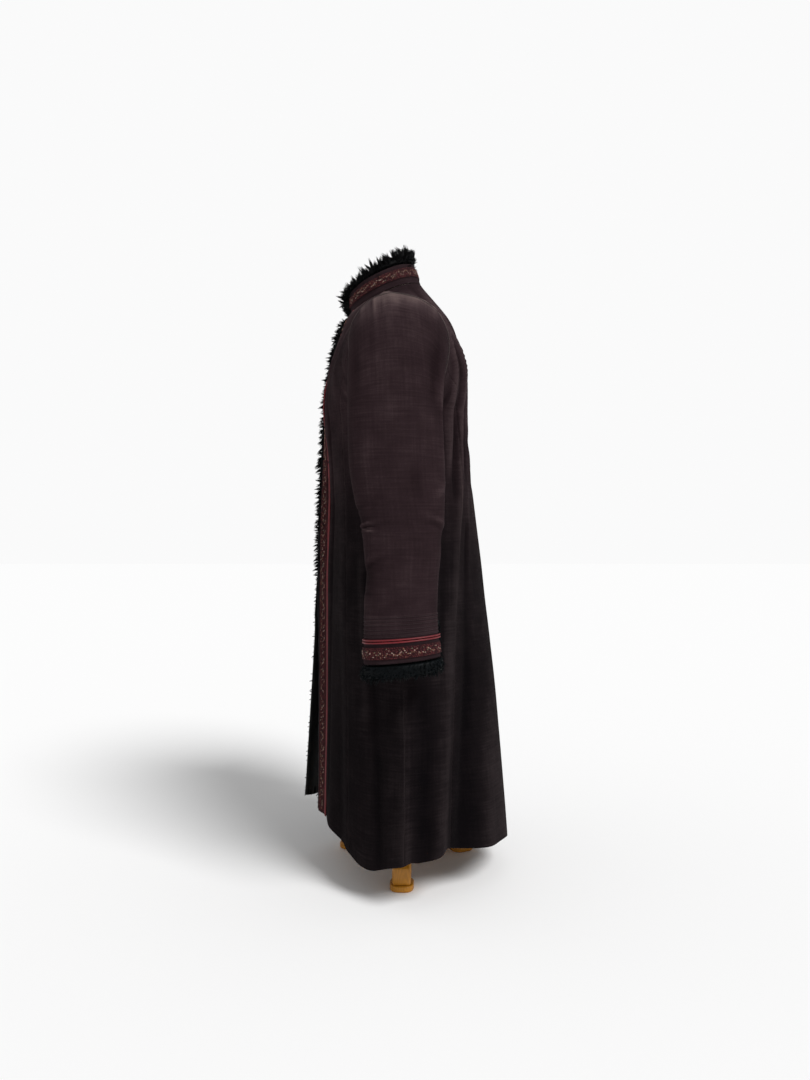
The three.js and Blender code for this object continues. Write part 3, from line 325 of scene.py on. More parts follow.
# Creases: half of the coat, u, w, half-lengths across and up, turn in degrees, depth in mm.
CREASES = [
    ("back", 4.35, 5.45, 0.07, 0.42, 6, -5.0), ("back", 4.62, 5.5, 0.06, 0.4, 4, 3.6),
    ("back", 4.12, 5.25, 0.05, 0.3, 10, 3.0), ("back", 4.5, 4.6, 0.3, 0.10, 8, -2.2),
    ("back", 4.6, 4.2, 0.35, 0.08, -6, -1.6), ("back", 3.5, 4.5, 0.2, 0.12, -18, -2.6),
    ("back", 3.35, 4.05, 0.22, 0.10, -14, -1.8), ("back", 4.8, 3.4, 0.06, 0.9, 1, 2.2),
    ("back", 4.25, 2.9, 0.05, 1.1, 2, 2.6), ("back", 3.7, 2.6, 0.05, 1.2, -1, -2.4),
    ("front", 2.6, 4.6, 0.2, 0.10, 16, -2.8), ("front", 2.45, 4.2, 0.22, 0.09, 14, -2.0),
    ("front", 1.5, 4.75, 0.25, 0.08, 9, -1.8), ("front", 2.2, 5.35, 0.12, 0.2, -30, -3.4),
    ("front", 2.5, 5.6, 0.1, 0.16, -34, -2.4), ("front", 1.2, 5.55, 0.07, 0.25, -12, 2.0),
    ("front", 1.15, 3.1, 0.05, 1.3, 1, 2.4), ("front", 2.35, 2.4, 0.05, 1.2, -1, 2.2),
    ("front", 0.95, 4.2, 0.04, 1.0, 0, -1.2),
]


# Folds that follow a line down the coat: half, heights w, places u, width in u, depth in mm.
LINE_FOLDS = [
    ("back", (2.6, 3.6, 4.6, 5.1, 5.6), (3.93, 3.97, 4.06, 4.12, 4.22), 0.045, 6.0),
    ("back", (4.5, 5.0, 5.3, 5.6, 5.85), (3.78, 3.80, 3.62, 3.40, 3.16), 0.05, 7.5),
    ("back", (4.2, 4.9, 5.4, 5.8), (3.88, 3.96, 3.86, 3.60), 0.05, -8.0),
    ("back", (4.4, 5.0, 5.5, 5.85), (4.25, 4.35, 4.42, 4.45), 0.06, -6.5),
    ("back", (3.9, 4.6, 5.1), (3.60, 3.62, 3.60), 0.05, -6.0),
    ("back", (4.3, 5.0, 5.6), (4.50, 4.58, 4.66), 0.05, 3.6),
    ("back", (0.2, 2.0, 3.6), (4.15, 4.22, 4.22), 0.06, -4.0),
    ("front", (0.4, 3.0, 5.2), (1.14, 1.14, 1.10), 0.035, 3.0),
    ("front", (0.5, 3.0, 5.0), (1.30, 1.30, 1.24), 0.06, -3.0),
    ("front", (4.7, 5.2, 5.5, 5.9), (1.12, 0.98, 0.81, 0.54), 0.09, 4.0),
    ("front", (4.7, 5.2, 5.5, 5.9), (0.92, 0.76, 0.60, 0.36), 0.10, -3.2),
    ("front", (0.2, 1.6, 3.0), (2.55, 2.50, 2.45), 0.06, -2.5),
    ("front", (5.15, 5.4, 5.75), (2.70, 2.40, 2.10), 0.06, -3.0),
    ("front", (5.1, 5.4, 5.8), (2.45, 2.15, 1.85), 0.05, 2.6),
]


SHADE_AND_WEAR_MOST = 3.5  # painted light and shade, and nap wear, stop at a fold this high, in mm
FOLD_SHADE_SHARE = 0.5  # the share of a skirt fold's height that counts
SHARP_FOLD = 0.2  # a skirt fold narrower than this gets painted light, shade and nap wear
EDGE_WEAR_AND_HIGHLIGHT = 3.0  # an edge is paler like a fold this high: wear and painted highlight
DUST_AND_TOP_SHEEN = 8.0  # cloth that faces up is paler like a fold this high: dust and painted sheen from above
UNDERARM_PASSES = 14  # of evening out, where the yokes meet the skirt


def crease_height(u, w, half):
    """The relief of the creases and line folds, in mm, over a slight unevenness."""
    height = 0.35 * np.sin(9.1 * u + 1.7 * w) * np.sin(2.3 * w - 1.9 * u)
    height = height + 0.22 * np.sin(23.0 * u - 3.1 * w + 0.8) * np.sin(4.3 * w + 1.1)
    both = 1 - ease(w, UNDERARM - 0.4, UNDERARM)  # below the underarm, one surface carries all
    for where, u0, w0, across, up, turn, depth in CREASES:
        du, dw = u - u0, w - w0
        lean = math.tan(math.radians(turn))
        along, over = (dw - lean * du, du) if across > up else (dw, du - lean * dw)
        part = depth * np.exp(-((over / across) ** 2) - (along / up) ** 2)
        height = height + part * np.where(where == half, 1, both)
    for where, ws, us, width, depth in LINE_FOLDS:
        ends = ease(w, ws[0] - 0.35, ws[0] + 0.15) * (1 - ease(w, ws[-1] - 0.12, ws[-1] + 0.15))
        part = depth * ends * bump(u, np.interp(w, ws, us), width)
        height = height + part * np.where(where == half, 1, both)
    return height


def wear_and_shade_height(u, w, half):
    """How high each place stands out, for painted light, painted shade and wear of the nap."""
    stands = crease_height(u, w, half) + FOLD_SHADE_SHARE * fold_height(u, w, SHARP_FOLD)
    return SHADE_AND_WEAR_MOST * np.tanh(stands / SHADE_AND_WEAR_MOST)


def softened(grid, w):
    """A grid with the line across the underarm evened out, where the yokes meet the skirt."""
    near = (1 - ease(np.abs(w - UNDERARM), 0.1, 0.4))[:, None, None]
    for _ in range(UNDERARM_PASSES):
        even = grid.copy()
        even[1:-1] = (grid[:-2] + 2 * grid[1:-1] + grid[2:]) / 4
        grid = grid + (even - grid) * near
    return grid


def coat_normal(u, w, half, right):
    """Outward normals, from steps that stay on the same side of the underarm."""
    up = w > UNDERARM
    floor, top = np.where(up, UNDERARM + 1e-6, 0), np.where(up, TOP, UNDERARM)
    first = np.where(up & (half == "back"), SIDE_SEAM_U, 0)
    last = np.where(up & (half == "front"), SIDE_SEAM_U, PAST_BACK_U)
    after, before = np.clip(u + PROBE, first, last), np.clip(u - PROBE, first, last)
    over, under = np.clip(w + PROBE, floor, top), np.clip(w - PROBE, floor, top)
    here = np.clip(u, first, last)
    across = coat(after, w, half, right) - coat(before, w, half, right)
    upward = coat(here, over, half, right) - coat(here, under, half, right)
    return unit(np.cross(across, upward))


def coat_cells(u, w, half, right):
    """Points and outward normals at places u, w, a row for each w."""
    shape = np.broadcast(u, w).shape
    u, w = (np.broadcast_to(x, shape).astype(float).ravel() for x in (u, w))
    n = coat_normal(u, w, half, right)
    near = 0.5 * np.clip(1 - np.abs(w - UNDERARM) / 0.3, 0, 1)
    across_line = coat_normal(u, np.clip(2 * UNDERARM - w, 0, TOP), half, right)
    n = unit(mix(n, across_line, near))
    p = coat(u, w, half, right) + n * crease_height(u, w, half)[:, None]
    rows = w.reshape(shape)[:, 0]
    return softened(p.reshape(*shape, 3), rows), unit(softened(n.reshape(*shape, 3), rows))


EDGE_SAMPLES = np.linspace(0, 2.2, 221)


def from_edge(distance, w, right):
    """The place u on each row w that lies `distance` mm from the front edge."""
    rows = np.repeat(w, len(EDGE_SAMPLES))
    u = np.tile(EDGE_SAMPLES, len(w))
    p = coat(u, rows, "front", right).reshape(len(w), -1, 3)
    gone = np.cumsum(np.linalg.norm(np.diff(p, axis=1), axis=2), axis=1)
    gone = np.concatenate([np.zeros((len(w), 1)), gone], axis=1)
    return np.stack([np.interp(distance, row, EDGE_SAMPLES) for row in gone])


# ---- Meshes -----------------------------------------------------------------------------------
def add_object(name, data):
    """A new object in the scene, at the origin."""
    piece = bpy.data.objects.new(name, data)
    bpy.context.collection.objects.link(piece)
    return piece


def store(mesh, name, values):
    """Keeps a number or a vector for each point of a mesh."""
    values = np.asarray(values, np.float32)
    kind, field = ("FLOAT", "value") if values.ndim == 1 else ("FLOAT_VECTOR", "vector")
    mesh.attributes.new(name, kind, "POINT").data.foreach_set(field, values.ravel())


def sided(right, *grids):
    """Grids of the left side, mirrored if they are for the right."""
    return [grid * (-1, 1, 1) for grid in grids] if right else list(grids)


def mesh_object(name, points, faces, uv=None, smooth=True):
    """An object at the origin from points in millimetres, with a UV map in metres."""
    mesh = bpy.data.meshes.new(name)
    mesh.from_pydata((np.asarray(points) * MM).tolist(), [], [list(map(int, f)) for f in faces])
    mesh.update()
    if uv is not None:
        loops = np.zeros(len(mesh.loops), np.int32)
        mesh.loops.foreach_get("vertex_index", loops)
        layer = mesh.uv_layers.new(name="cut")
        layer.data.foreach_set("uv", (np.asarray(uv)[loops] * MM).astype(np.float32).ravel())
    if smooth:
        mesh.shade_smooth()
    return add_object(name, mesh)


def grid_faces(rows, columns, start=0):
    i, j = np.meshgrid(np.arange(rows - 1), np.arange(columns - 1), indexing="ij")
    a = (i * columns + j).ravel() + start
    return np.stack([a, a + 1, a + columns + 1, a + columns], axis=1)


def border(rows, columns):
    """The border of a grid in order, as flat indices, and each one's neighbour inside it."""
    index = np.arange(rows * columns).reshape(rows, columns)
    loop = np.concatenate([index[0, :-1], index[:-1, -1], index[-1, :0:-1], index[:0:-1, 0]])
    i, j = loop // columns, loop % columns
    inner = np.clip(i, 1, rows - 2) * columns + np.clip(j, 1, columns - 2)
    return loop, inner


def cut_coordinates(p):
    """Each cell's place on the flat cut: across from the middle column, and up that column."""
    gone = np.cumsum(np.linalg.norm(np.diff(p, axis=1), axis=2), axis=1)
    across = np.concatenate([np.zeros((len(p), 1)), gone], axis=1)
    middle = p.shape[1] // 2
    up = np.concatenate([[0], np.cumsum(np.linalg.norm(np.diff(p[:, middle], axis=0), axis=1))])
    up = np.repeat(up[:, None], p.shape[1], 1)
    return np.stack([across - across[:, middle:middle + 1], up], axis=2)


RIM_TURNS = np.radians([50, 90, 130])


def shell(name, p, n, thick=WALL, mirrored=False, inset=True, relief=None):
    """A wall of cloth with rounded edges, whose outer face is the grid p with normals n. Its colour
    is paler on the ridges of its relief and darker in the hollows, as painted light and shade with
    some wear; up-facing cloth is paler as dust and painted sheen, and its edges as wear and painted
    highlight."""
    if relief is None:
        relief = np.zeros(p.shape[:2])
    if mirrored:
        p, n = (x[:, ::-1] * (-1, 1, 1) for x in (p, n))
        relief = relief[:, ::-1]
    rows, columns = p.shape[:2]
    uv = cut_coordinates(p).reshape(-1, 2)
    p, n = p.reshape(-1, 3).copy(), n.reshape(-1, 3)
    loop, inner = border(rows, columns)
    way = unit(p[loop] - p[inner])
    if inset:
        p[loop] -= way * (thick / 2 + GAP / 2)
    levels = [p]
    for turn in RIM_TURNS:
        sunk = p[loop] - n[loop] * thick / 2 * (1 - math.cos(turn))
        levels.append(sunk + way * thick / 2 * math.sin(turn))
    inside = p - n * thick
    points = np.concatenate([*levels, inside])
    starts = np.cumsum([0] + [len(level) for level in levels])
    faces = [grid_faces(rows, columns), grid_faces(rows, columns, starts[-1])[:, ::-1]]
    rings = [loop, *(start + np.arange(len(loop)) for start in starts[1:-1]), loop + starts[-1]]
    for ring, following in zip(rings, rings[1:]):
        faces.append(np.stack([ring, following, np.roll(following, -1), np.roll(ring, -1)], axis=1))
    rim_uv = [uv[loop]] * len(RIM_TURNS)
    piece = mesh_object(name, points, np.concatenate(faces), np.concatenate([uv, *rim_uv, uv]))
    # Up-facing cloth is paler: dust, and painted sheen where light falls from above.
    high = relief.ravel() + DUST_AND_TOP_SHEEN * ease(n[:, 2], 0.3, 0.95)
    # Paler rims: wear, and painted highlight where light catches the edges.
    edges = [high[loop] + EDGE_WEAR_AND_HIGHLIGHT] * len(RIM_TURNS)
    store(piece.data, "worn", np.concatenate([high, *edges, high]))
    return piece


def flat_size(p):
    """The width, length and area of the cut that makes a grid, in metres."""
    across = np.linalg.norm(np.diff(p, axis=1), axis=2).sum(axis=1)
    up = np.linalg.norm(np.diff(p, axis=0), axis=2).sum(axis=0)
    a, b, c, d = p[:-1, :-1], p[:-1, 1:], p[1:, 1:], p[1:, :-1]
    halves = np.cross(b - a, d - a), np.cross(b - c, d - c)
    area = (np.linalg.norm(halves[0], axis=2) + np.linalg.norm(halves[1], axis=2)).sum() / 2
    width, length = across.max() * MM, up.max() * MM
    return (round(width, 3), round(length, 3)), round(min(area * MM * MM, width * length), 4)


# ---- Materials --------------------------------------------------------------------------------
def wire(tree, node, sockets):
    """Links or sets a node's inputs; a name has _ for a space, or is in_0, in_1 ... by place."""
    for name, value in sockets.items():
        slot = node.inputs[int(name[3:]) if name.startswith("in_") else name.replace("_", " ")]
        for one in value if isinstance(value, list) else [value]:
            one = one.socket if isinstance(one, Signal) else one
            if isinstance(one, bpy.types.NodeSocket):
                tree.links.new(one, slot)
            else:
                slot.default_value = one


class Signal:
    """A shader socket that takes part in Python sums; each operator adds its Math node."""

    def __init__(self, tree, socket):
        self.tree = tree
        self.socket = socket

    def math(self, operation, *values):
        node = self.tree.nodes.new("ShaderNodeMath")
        node.operation = operation
        wire(self.tree, node, {f"in_{i}": value for i, value in enumerate(values)})
        return Signal(self.tree, node.outputs[0])

    def __add__(self, other):
        return self.math("ADD", self, other)

    __radd__ = __add__

    def __mul__(self, other):
        return self.math("MULTIPLY", self, other)

    def __sub__(self, other):
        return self.math("SUBTRACT", self, other)

    def wave(self, pitch):
        """A sine that repeats each `pitch` metres."""
        return self.math("SINE", self * (2 * math.pi / pitch))


class Finish:
    """A material in the making, round its Principled shader."""

    def __init__(self, name, **constants):
        self.material = bpy.data.materials.new(name)
        self.material.use_nodes = True
        self.tree = self.material.node_tree
        self.shader = self.tree.nodes["Principled BSDF"]
        wire(self.tree, self.shader, constants)

    def node(self, kind, settings=None, out=0, **sockets):
        """The output `out` of a new node."""
        node = self.tree.nodes.new("ShaderNode" + kind)
        for name, value in (settings or {}).items():
            setattr(node, name, value)
        wire(self.tree, node, sockets)
        return Signal(self.tree, node.outputs[out])

    def feed(self, **sockets):
        wire(self.tree, self.shader, sockets)
        return self.material

    def ramp(self, tone, stops):
        """A colour for each tone, from (place, colour) stops."""
        node = self.tree.nodes.new("ShaderNodeValToRGB")
        elements = node.color_ramp.elements
        while len(elements) < len(stops):
            elements.new(0.5)
        for element, (place, colour) in zip(elements, stops):
            element.position = place
            element.color = (*colour, 1)
        wire(self.tree, node, {"Fac": tone})
        return Signal(self.tree, node.outputs[0])

    def blend(self, share, first, second):
        """A colour between two; each is a colour or a Signal."""
        low, high = (c if isinstance(c, Signal) else (*c, 1) for c in (first, second))
        return self.node("Mix", {"data_type": "RGBA"}, out=2, in_0=share, in_6=low, in_7=high)

    def noise(self, where, scale, detail=2.0, roughness=0.5):
        return self.node("TexNoise", Vector=where, Scale=scale, Detail=detail, Roughness=roughness)

    def bump(self, strength, distance, height, **under):
        return self.node("Bump", Strength=strength, Distance=distance, Height=height, **under)

    def stretched(self, where, scale):
        return self.node("Mapping", Vector=where, Scale=scale)

    def cut(self):
        """Places on the flat cut, in metres."""
        return self.node("UVMap", {"uv_map": "cut"})

    def body(self):
        """Places on the object, in metres."""
        return self.node("TexCoord", out=3)

    def axis(self, where, number):
        return self.node("SeparateXYZ", out=number, Vector=where)


# Colours of the nap for each tone: painted lit, as towards the shoulders, and in painted shade, as
# towards the hem.
NAP_PAINTED_LIT = [
    (0.30, (0.0125, 0.0070, 0.0082)), (0.50, (0.0250, 0.0148, 0.0170)),
    (0.70, (0.052, 0.0340, 0.0365)), (0.95, (0.130, 0.092, 0.088)),
]
NAP_PAINTED_SHADE = [
    (0.30, (0.0030, 0.0023, 0.0028)), (0.50, (0.0078, 0.0057, 0.0064)),
    (0.70, (0.023, 0.0175, 0.0185)),
]
PAINTED_LIGHT_HEIGHTS = (0.62, 1.08)  # heights, in metres, over which painted shade below gives way to painted light above
RIB_PITCH = 0.0021
WEAVE_PITCH = 0.0013


def velveteen(name, lowest_painted_light):
    """Dark brown needlecord: fine ribs along the cut and slubs both ways. Its nap is darker
    towards the hem as painted shade and paler towards the shoulders as painted light from above;
    the second argument is the share of painted light at the hem, and at 1 it is lit all over."""
    cloth = Finish(name, Roughness=0.95, Sheen_Weight=0.025, Sheen_Roughness=0.3,
                   Sheen_Tint=(0.9, 0.72, 0.74, 1), Specular_IOR_Level=0.02)
    cut, body = cloth.cut(), cloth.body()
    x, y, height = cloth.axis(cut, 0), cloth.axis(cut, 1), cloth.axis(body, 2)
    rib = (x + cloth.noise(cut, 60.0, 1.0) * 0.0006).wave(RIB_PITCH)
    weave = y.wave(WEAVE_PITCH)
    crossways = cloth.noise(cloth.stretched(cut, (16.0, 330.0, 1.0)), 1.0, 2.0, 0.6)
    lengthways = cloth.noise(cloth.stretched(cut, (260.0, 9.0, 1.0)), 1.0, 2.0, 0.6)
    nap = cloth.noise(body, 26.0, 4.0, 0.6)
    patches = cloth.noise(body, 6.5, 3.0, 0.55)
    pile = cloth.noise(body, 900.0, 2.0, 0.7)
    # Ridges, edges and tops paler, hollows darker: painted light and shade, with wear and dust
    worn = cloth.node("Attribute", {"attribute_name": "worn"}, out=2)
    tone = (crossways * 0.22 + lengthways * 0.13 + nap * 0.20 + patches * 0.24 + pile * 0.20
            + rib * 0.03 + worn * 0.050 - 0.005)
    colour = cloth.ramp(tone, NAP_PAINTED_LIT)
    # Towards the hem the nap takes the painted shade colours, towards the shoulders the painted lit
    # ones.
    if lowest_painted_light < 1:
        low, high = PAINTED_LIGHT_HEIGHTS
        lit_share = cloth.node("MapRange", {"interpolation_type": "SMOOTHSTEP"},
                          in_0=height + patches * 0.16, in_1=low, in_2=high, in_3=lowest_painted_light, in_4=1.0)
        colour = cloth.blend(lit_share, cloth.ramp(tone, NAP_PAINTED_SHADE), colour)
    grain = rib * 0.5 + weave * 0.22 + pile * 0.7 + crossways * 1.4 + lengthways * 0.8
    soft = cloth.bump(0.45, 0.005, nap, Normal=cloth.bump(0.55, 0.0005, grain))
    return cloth.feed(Base_Color=colour, Normal=soft, Roughness=0.80 + nap * 0.2)


def braid_ground():
    """The braid's woven ground: wine red with a crossways grain and dusky threads."""
    braid = Finish("braid_ground", Roughness=0.8, Specular_IOR_Level=0.15)
    cut = braid.cut()
    warp, weft = braid.axis(cut, 0).wave(0.0011), braid.axis(cut, 1).wave(0.0009)
    tone = braid.noise(cut, 700.0, 1.0) * 0.7 + warp * weft * 0.2 + 0.1
    colour = braid.blend(tone, (0.008, 0.0030, 0.0036), (0.040, 0.0085, 0.0105))
    return braid.feed(Base_Color=colour, Normal=braid.bump(0.6, 0.0004, warp * 0.5 + weft * 0.5))


def thread(name, dark, light, shine):
    """Silky thread whose colour drifts a little from stitch to stitch."""
    silk = Finish(name, Roughness=shine, Specular_IOR_Level=0.3)
    body = silk.body()
    colour = silk.blend(silk.noise(body, 380.0, 1.0), dark, light)
    twist = silk.bump(0.3, 0.0002, silk.noise(body, 2500.0, 1.0))
    return silk.feed(Base_Color=colour, Normal=twist)


def satin():
    """Bright red satin piping, with the cord's slant showing through."""
    cord = Finish("piping_satin", Roughness=0.38, Specular_IOR_Level=0.35)
    body = cord.body()
    twill = (cord.axis(body, 2) + cord.axis(body, 0) * 0.8).wave(0.0016)
    tone = cord.noise(body, 45.0, 2.0) * 0.8 + twill * 0.1
    colour = cord.blend(tone, (0.085, 0.006, 0.009), (0.25, 0.024, 0.030))
    return cord.feed(Base_Color=colour, Normal=cord.bump(0.35, 0.0003, twill))


def fur(name, root, tip):
    """Dense glossy fur: nearly black at the skin and a little paler in streaks."""
    hair = Finish(name, Roughness=0.55, Specular_IOR_Level=0.10)
    body = hair.body()
    streaks = hair.noise(body, 240.0, 2.0) * hair.noise(body, 45.0, 2.0) * 2.2
    return hair.feed(Base_Color=hair.blend(streaks, root, tip))


def cotton():
    """The form's plain cotton cover, with a fine weave and slight slubs."""
    cover = Finish("form_cotton", Roughness=0.9, Sheen_Weight=0.2)
    body = cover.body()
    weave = cover.node("TexVoronoi", {"feature": "F1"}, Vector=body, Scale=1100.0)
    slub = cover.noise(body, 90.0, 3.0)
    colour = cover.blend(slub, (0.50, 0.44, 0.35), (0.66, 0.60, 0.50))
    return cover.feed(Base_Color=colour, Normal=cover.bump(0.4, 0.0004, weave + slub * 0.5))


def varnished_wood():
    """Golden-brown varnished wood with long grain and darker streaks."""
    wood = Finish("stand_varnish", Roughness=0.4, Specular_IOR_Level=0.3, Coat_Weight=0.2,
                  Coat_Roughness=0.2)
    long = wood.stretched(wood.body(), (6.0, 6.0, 1.4))
    rings = wood.node("TexWave", {"wave_type": "RINGS"}, Vector=long, Scale=14.0,
                      Distortion=5.0, Detail=3.0)
    grain = wood.noise(long, 70.0, 5.0, 0.65)
    colour = wood.ramp(rings * 0.25 + grain * 0.75, [
        (0.1, (0.34, 0.135, 0.008)), (0.5, (0.45, 0.185, 0.012)), (0.9, (0.54, 0.235, 0.020))])
    return wood.feed(Base_Color=colour, Normal=wood.bump(0.15, 0.0006, grain),
                     Roughness=0.3 + grain * 0.2)


def brushed_steel():
    """A satin steel pole, brushed round its length."""
    steel = Finish("pole_brushed", Metallic=1.0, Roughness=0.35)
    lines = steel.noise(steel.stretched(steel.body(), (1.0, 1.0, 60.0)), 40.0, 3.0)
    colour = steel.blend(lines, (0.42, 0.42, 0.43), (0.60, 0.60, 0.61))
    return steel.feed(Base_Color=colour, Roughness=0.28 + lines * 0.15)


# ---- Geometry Nodes ---------------------------------------------------------------------------
DENSEST_FUR = 400000.0  # roots on a square metre, before the spacing thins them


class Tree:
    """A Geometry Nodes tree in the making; its inputs have names and it ends in Set Material."""

    def __init__(self, name, inputs):
        self.tree = bpy.data.node_groups.new(name, "GeometryNodeTree")
        face = self.tree.interface
        face.new_socket("Geometry", in_out="INPUT", socket_type="NodeSocketGeometry")
        face.new_socket("Geometry", in_out="OUTPUT", socket_type="NodeSocketGeometry")
        self.identifiers = {}
        for socket_name, kind in inputs.items():
            socket = face.new_socket(socket_name, in_out="INPUT", socket_type="NodeSocket" + kind)
            self.identifiers[socket_name] = socket.identifier
        self.given = self.tree.nodes.new("NodeGroupInput").outputs
        self.result = self.tree.nodes.new("NodeGroupOutput").inputs[0]

    def node(self, kind, settings=None, out=0, **sockets):
        """The output `out` of a new node."""
        node = self.tree.nodes.new(kind)
        for name, value in (settings or {}).items():
            setattr(node, name, value)
        wire(self.tree, node, sockets)
        return node.outputs[out]

    def attribute(self, name, kind):
        return self.node("GeometryNodeInputNamedAttribute", {"data_type": kind}, Name=name)

    def finish(self, geometry):
        real = self.node("GeometryNodeRealizeInstances", Geometry=geometry)
        painted = self.node("GeometryNodeSetMaterial", Geometry=real,
                            Material=self.given["Material"])
        self.tree.links.new(painted, self.result)

    def grow(self, piece, **values):
        """Runs the tree on a piece and makes the result its plain mesh."""
        modifier = piece.modifiers.new("grow", "NODES")
        modifier.node_group = self.tree
        for name, value in values.items():
            modifier[self.identifiers[name.replace("_", " ")]] = value
        graph = bpy.context.evaluated_depsgraph_get()
        mesh = bpy.data.meshes.new_from_object(piece.evaluated_get(graph), depsgraph=graph)
        piece.modifiers.clear()
        old = piece.data
        piece.data = mesh
        bpy.data.meshes.remove(old)
        mesh.name = piece.name
        return piece


def tube_tree():
    """Round cords along every line of edges."""
    tree = Tree("round_cords", {"Radius": "Float", "Sides": "Int", "Material": "Material"})
    line = tree.node("GeometryNodeMeshToCurve", Mesh=tree.given["Geometry"])
    ring = tree.node("GeometryNodeCurvePrimitiveCircle", Resolution=tree.given["Sides"],
                     Radius=tree.given["Radius"])
    tube = tree.node("GeometryNodeCurveToMesh", Curve=line, Profile_Curve=ring, Fill_Caps=True)
    smooth = tree.node("GeometryNodeSetShadeSmooth", Geometry=tube)
    tree.finish(smooth)
    return tree


def stitch_tree():
    """A stitch at every point, laid along its `along` and `up` attributes at its own `size`."""
    tree = Tree("stitches", {"Stitch": "Object", "Material": "Material"})
    up, along, size = (tree.attribute(name, "FLOAT_VECTOR") for name in ("up", "along", "size"))
    turn = tree.node("FunctionNodeAxesToRotation", {"primary_axis": "Z", "secondary_axis": "X"},
                     Primary_Axis=up, Secondary_Axis=along)
    stitch = tree.node("GeometryNodeObjectInfo", out=4, Object=tree.given["Stitch"])
    placed = tree.node("GeometryNodeInstanceOnPoints", Points=tree.given["Geometry"],
                       Instance=stitch, Rotation=turn, Scale=size)
    tree.finish(placed)
    return tree


def fur_tree():
    """Fur on a skin: short tufts all over and longer locks among them. Both lean along the skin's
    `lie` attribute and grow as long as its `grow` attribute lets them."""
    tree = Tree("fur_coat", {
        "Tuft": "Object", "Lock": "Object", "Spacing": "Float", "Lock Spacing": "Float",
        "Seed": "Int", "Tuft Length": "Float", "Lock Length": "Float", "Unruly": "Float",
        "Material": "Material"})
    skin, seed = tree.given["Geometry"], tree.given["Seed"]
    lie, long = tree.attribute("lie", "FLOAT_VECTOR"), tree.attribute("grow", "FLOAT")

    def crop(shape, spacing, length):
        points = tree.node("GeometryNodeDistributePointsOnFaces", {"distribute_method": "POISSON"},
                           Mesh=skin, Distance_Min=tree.given[spacing],
                           Density_Max=DENSEST_FUR, Seed=seed)
        stray = tree.node("FunctionNodeRandomValue", {"data_type": "FLOAT_VECTOR"},
                          in_0=(-1, -1, -1), in_1=(1, 1, 1), Seed=seed)
        leant = tree.node("ShaderNodeVectorMath", {"operation": "SCALE"}, in_0=stray,
                          Scale=tree.given["Unruly"])
        way = tree.node("ShaderNodeVectorMath", {"operation": "ADD"}, in_0=lie, in_1=leant)
        turn = tree.node("FunctionNodeAlignRotationToVector", {"axis": "Z"}, Vector=way)
        spin = tree.node("FunctionNodeRandomValue", {"data_type": "FLOAT"}, out=1, in_2=0.0,
                         in_3=6.283, Seed=seed)
        about = tree.node("FunctionNodeAxisAngleToRotation", Axis=(0, 0, 1), Angle=spin)
        turned = tree.node("FunctionNodeRotateRotation", {"rotation_space": "LOCAL"},
                           Rotation=turn, Rotate_By=about)
        vary = tree.node("FunctionNodeRandomValue", {"data_type": "FLOAT"}, out=1, in_2=0.6,
                         in_3=1.0, Seed=seed)
        reach = tree.node("ShaderNodeMath", {"operation": "MULTIPLY"}, in_0=vary,
                          in_1=tree.given[length])
        size = tree.node("ShaderNodeMath", {"operation": "MULTIPLY"}, in_0=reach, in_1=long)
        hair = tree.node("GeometryNodeObjectInfo", out=4, Object=tree.given[shape])
        return tree.node("GeometryNodeInstanceOnPoints", Points=points, Instance=hair,
                         Rotation=turned, Scale=size)

    tufts = crop("Tuft", "Spacing", "Tuft Length")
    locks = crop("Lock", "Lock Spacing", "Lock Length")
    tree.finish(tree.node("GeometryNodeJoinGeometry", Geometry=[tufts, locks, skin]))
    return tree


# ---- Repeated small things --------------------------------------------------------------------
def stitch_shape():
    """A fat little stitch a unit long, with four sides and pointed ends."""
    ring = [(0.42, 0.0), (0.0, 0.5), (-0.42, 0.0), (0.0, -0.2)]
    points = [(-0.5, 0, 0)]
    for x in (-0.26, 0.26):
        points += [(x, across, up) for across, up in ring]
    points.append((0.5, 0, 0))
    faces = []
    for k in range(4):
        after = (k + 1) % 4
        faces.append((0, 1 + after, 1 + k))
        faces.append((1 + k, 1 + after, 5 + after, 5 + k))
        faces.append((9, 5 + k, 5 + after))
    return mesh_object("stitch_shape", np.array(points) / MM, faces)


def hair_bundle(name, strands, root_reach, tip_reach, hair, bend, seed):
    """A bundle of bent three-sided hairs a unit long. The reaches are how far the roots and tips
    stand from its middle: wide roots and close tips make a lock, the other way a tuft."""
    random = np.random.default_rng(seed)
    points, faces = [], []
    for strand in range(strands):
        around = 2 * math.pi * strand / strands + random.uniform(-0.3, 0.3)
        side_way = np.array([math.cos(around), math.sin(around), 0])
        root = side_way * root_reach * random.uniform(0.2, 1.0)
        tip = side_way * tip_reach * random.uniform(0.2, 1.0)
        reach = random.uniform(0.66, 1.0)
        lean = np.array([bend, 0, 0]) * random.uniform(0.7, 1.3)
        start = len(points)
        for part, width in ((0.0, hair), (0.5, hair * 0.75)):
            risen = np.array([0, 0, reach * part])
            middle = root + (tip - root) * part + lean * part ** 2 + risen
            for side in range(3):
                turn = around + 2 * math.pi * side / 3
                points.append(middle + width * np.array([math.cos(turn), math.sin(turn), 0]))
        points.append(tip + lean + np.array([0, 0, reach]))
        for side in range(3):
            after = (side + 1) % 3
            faces.append((start + side, start + after, start + 3 + after, start + 3 + side))
            faces.append((start + 3 + side, start + 3 + after, start + 6))
    return mesh_object(name, np.array(points) / MM, faces)


STITCH = stitch_shape()
TUFT = hair_bundle("tuft_shape", 6, 0.14, 0.34, 0.05, 0.25, 4)
LOCK = hair_bundle("lock_shape", 11, 0.20, 0.07, 0.045, 0.32, 9)
TUBES = tube_tree()
STITCHES = stitch_tree()
FUR = fur_tree()
CLOTH = velveteen("velveteen_cord", 0.0)
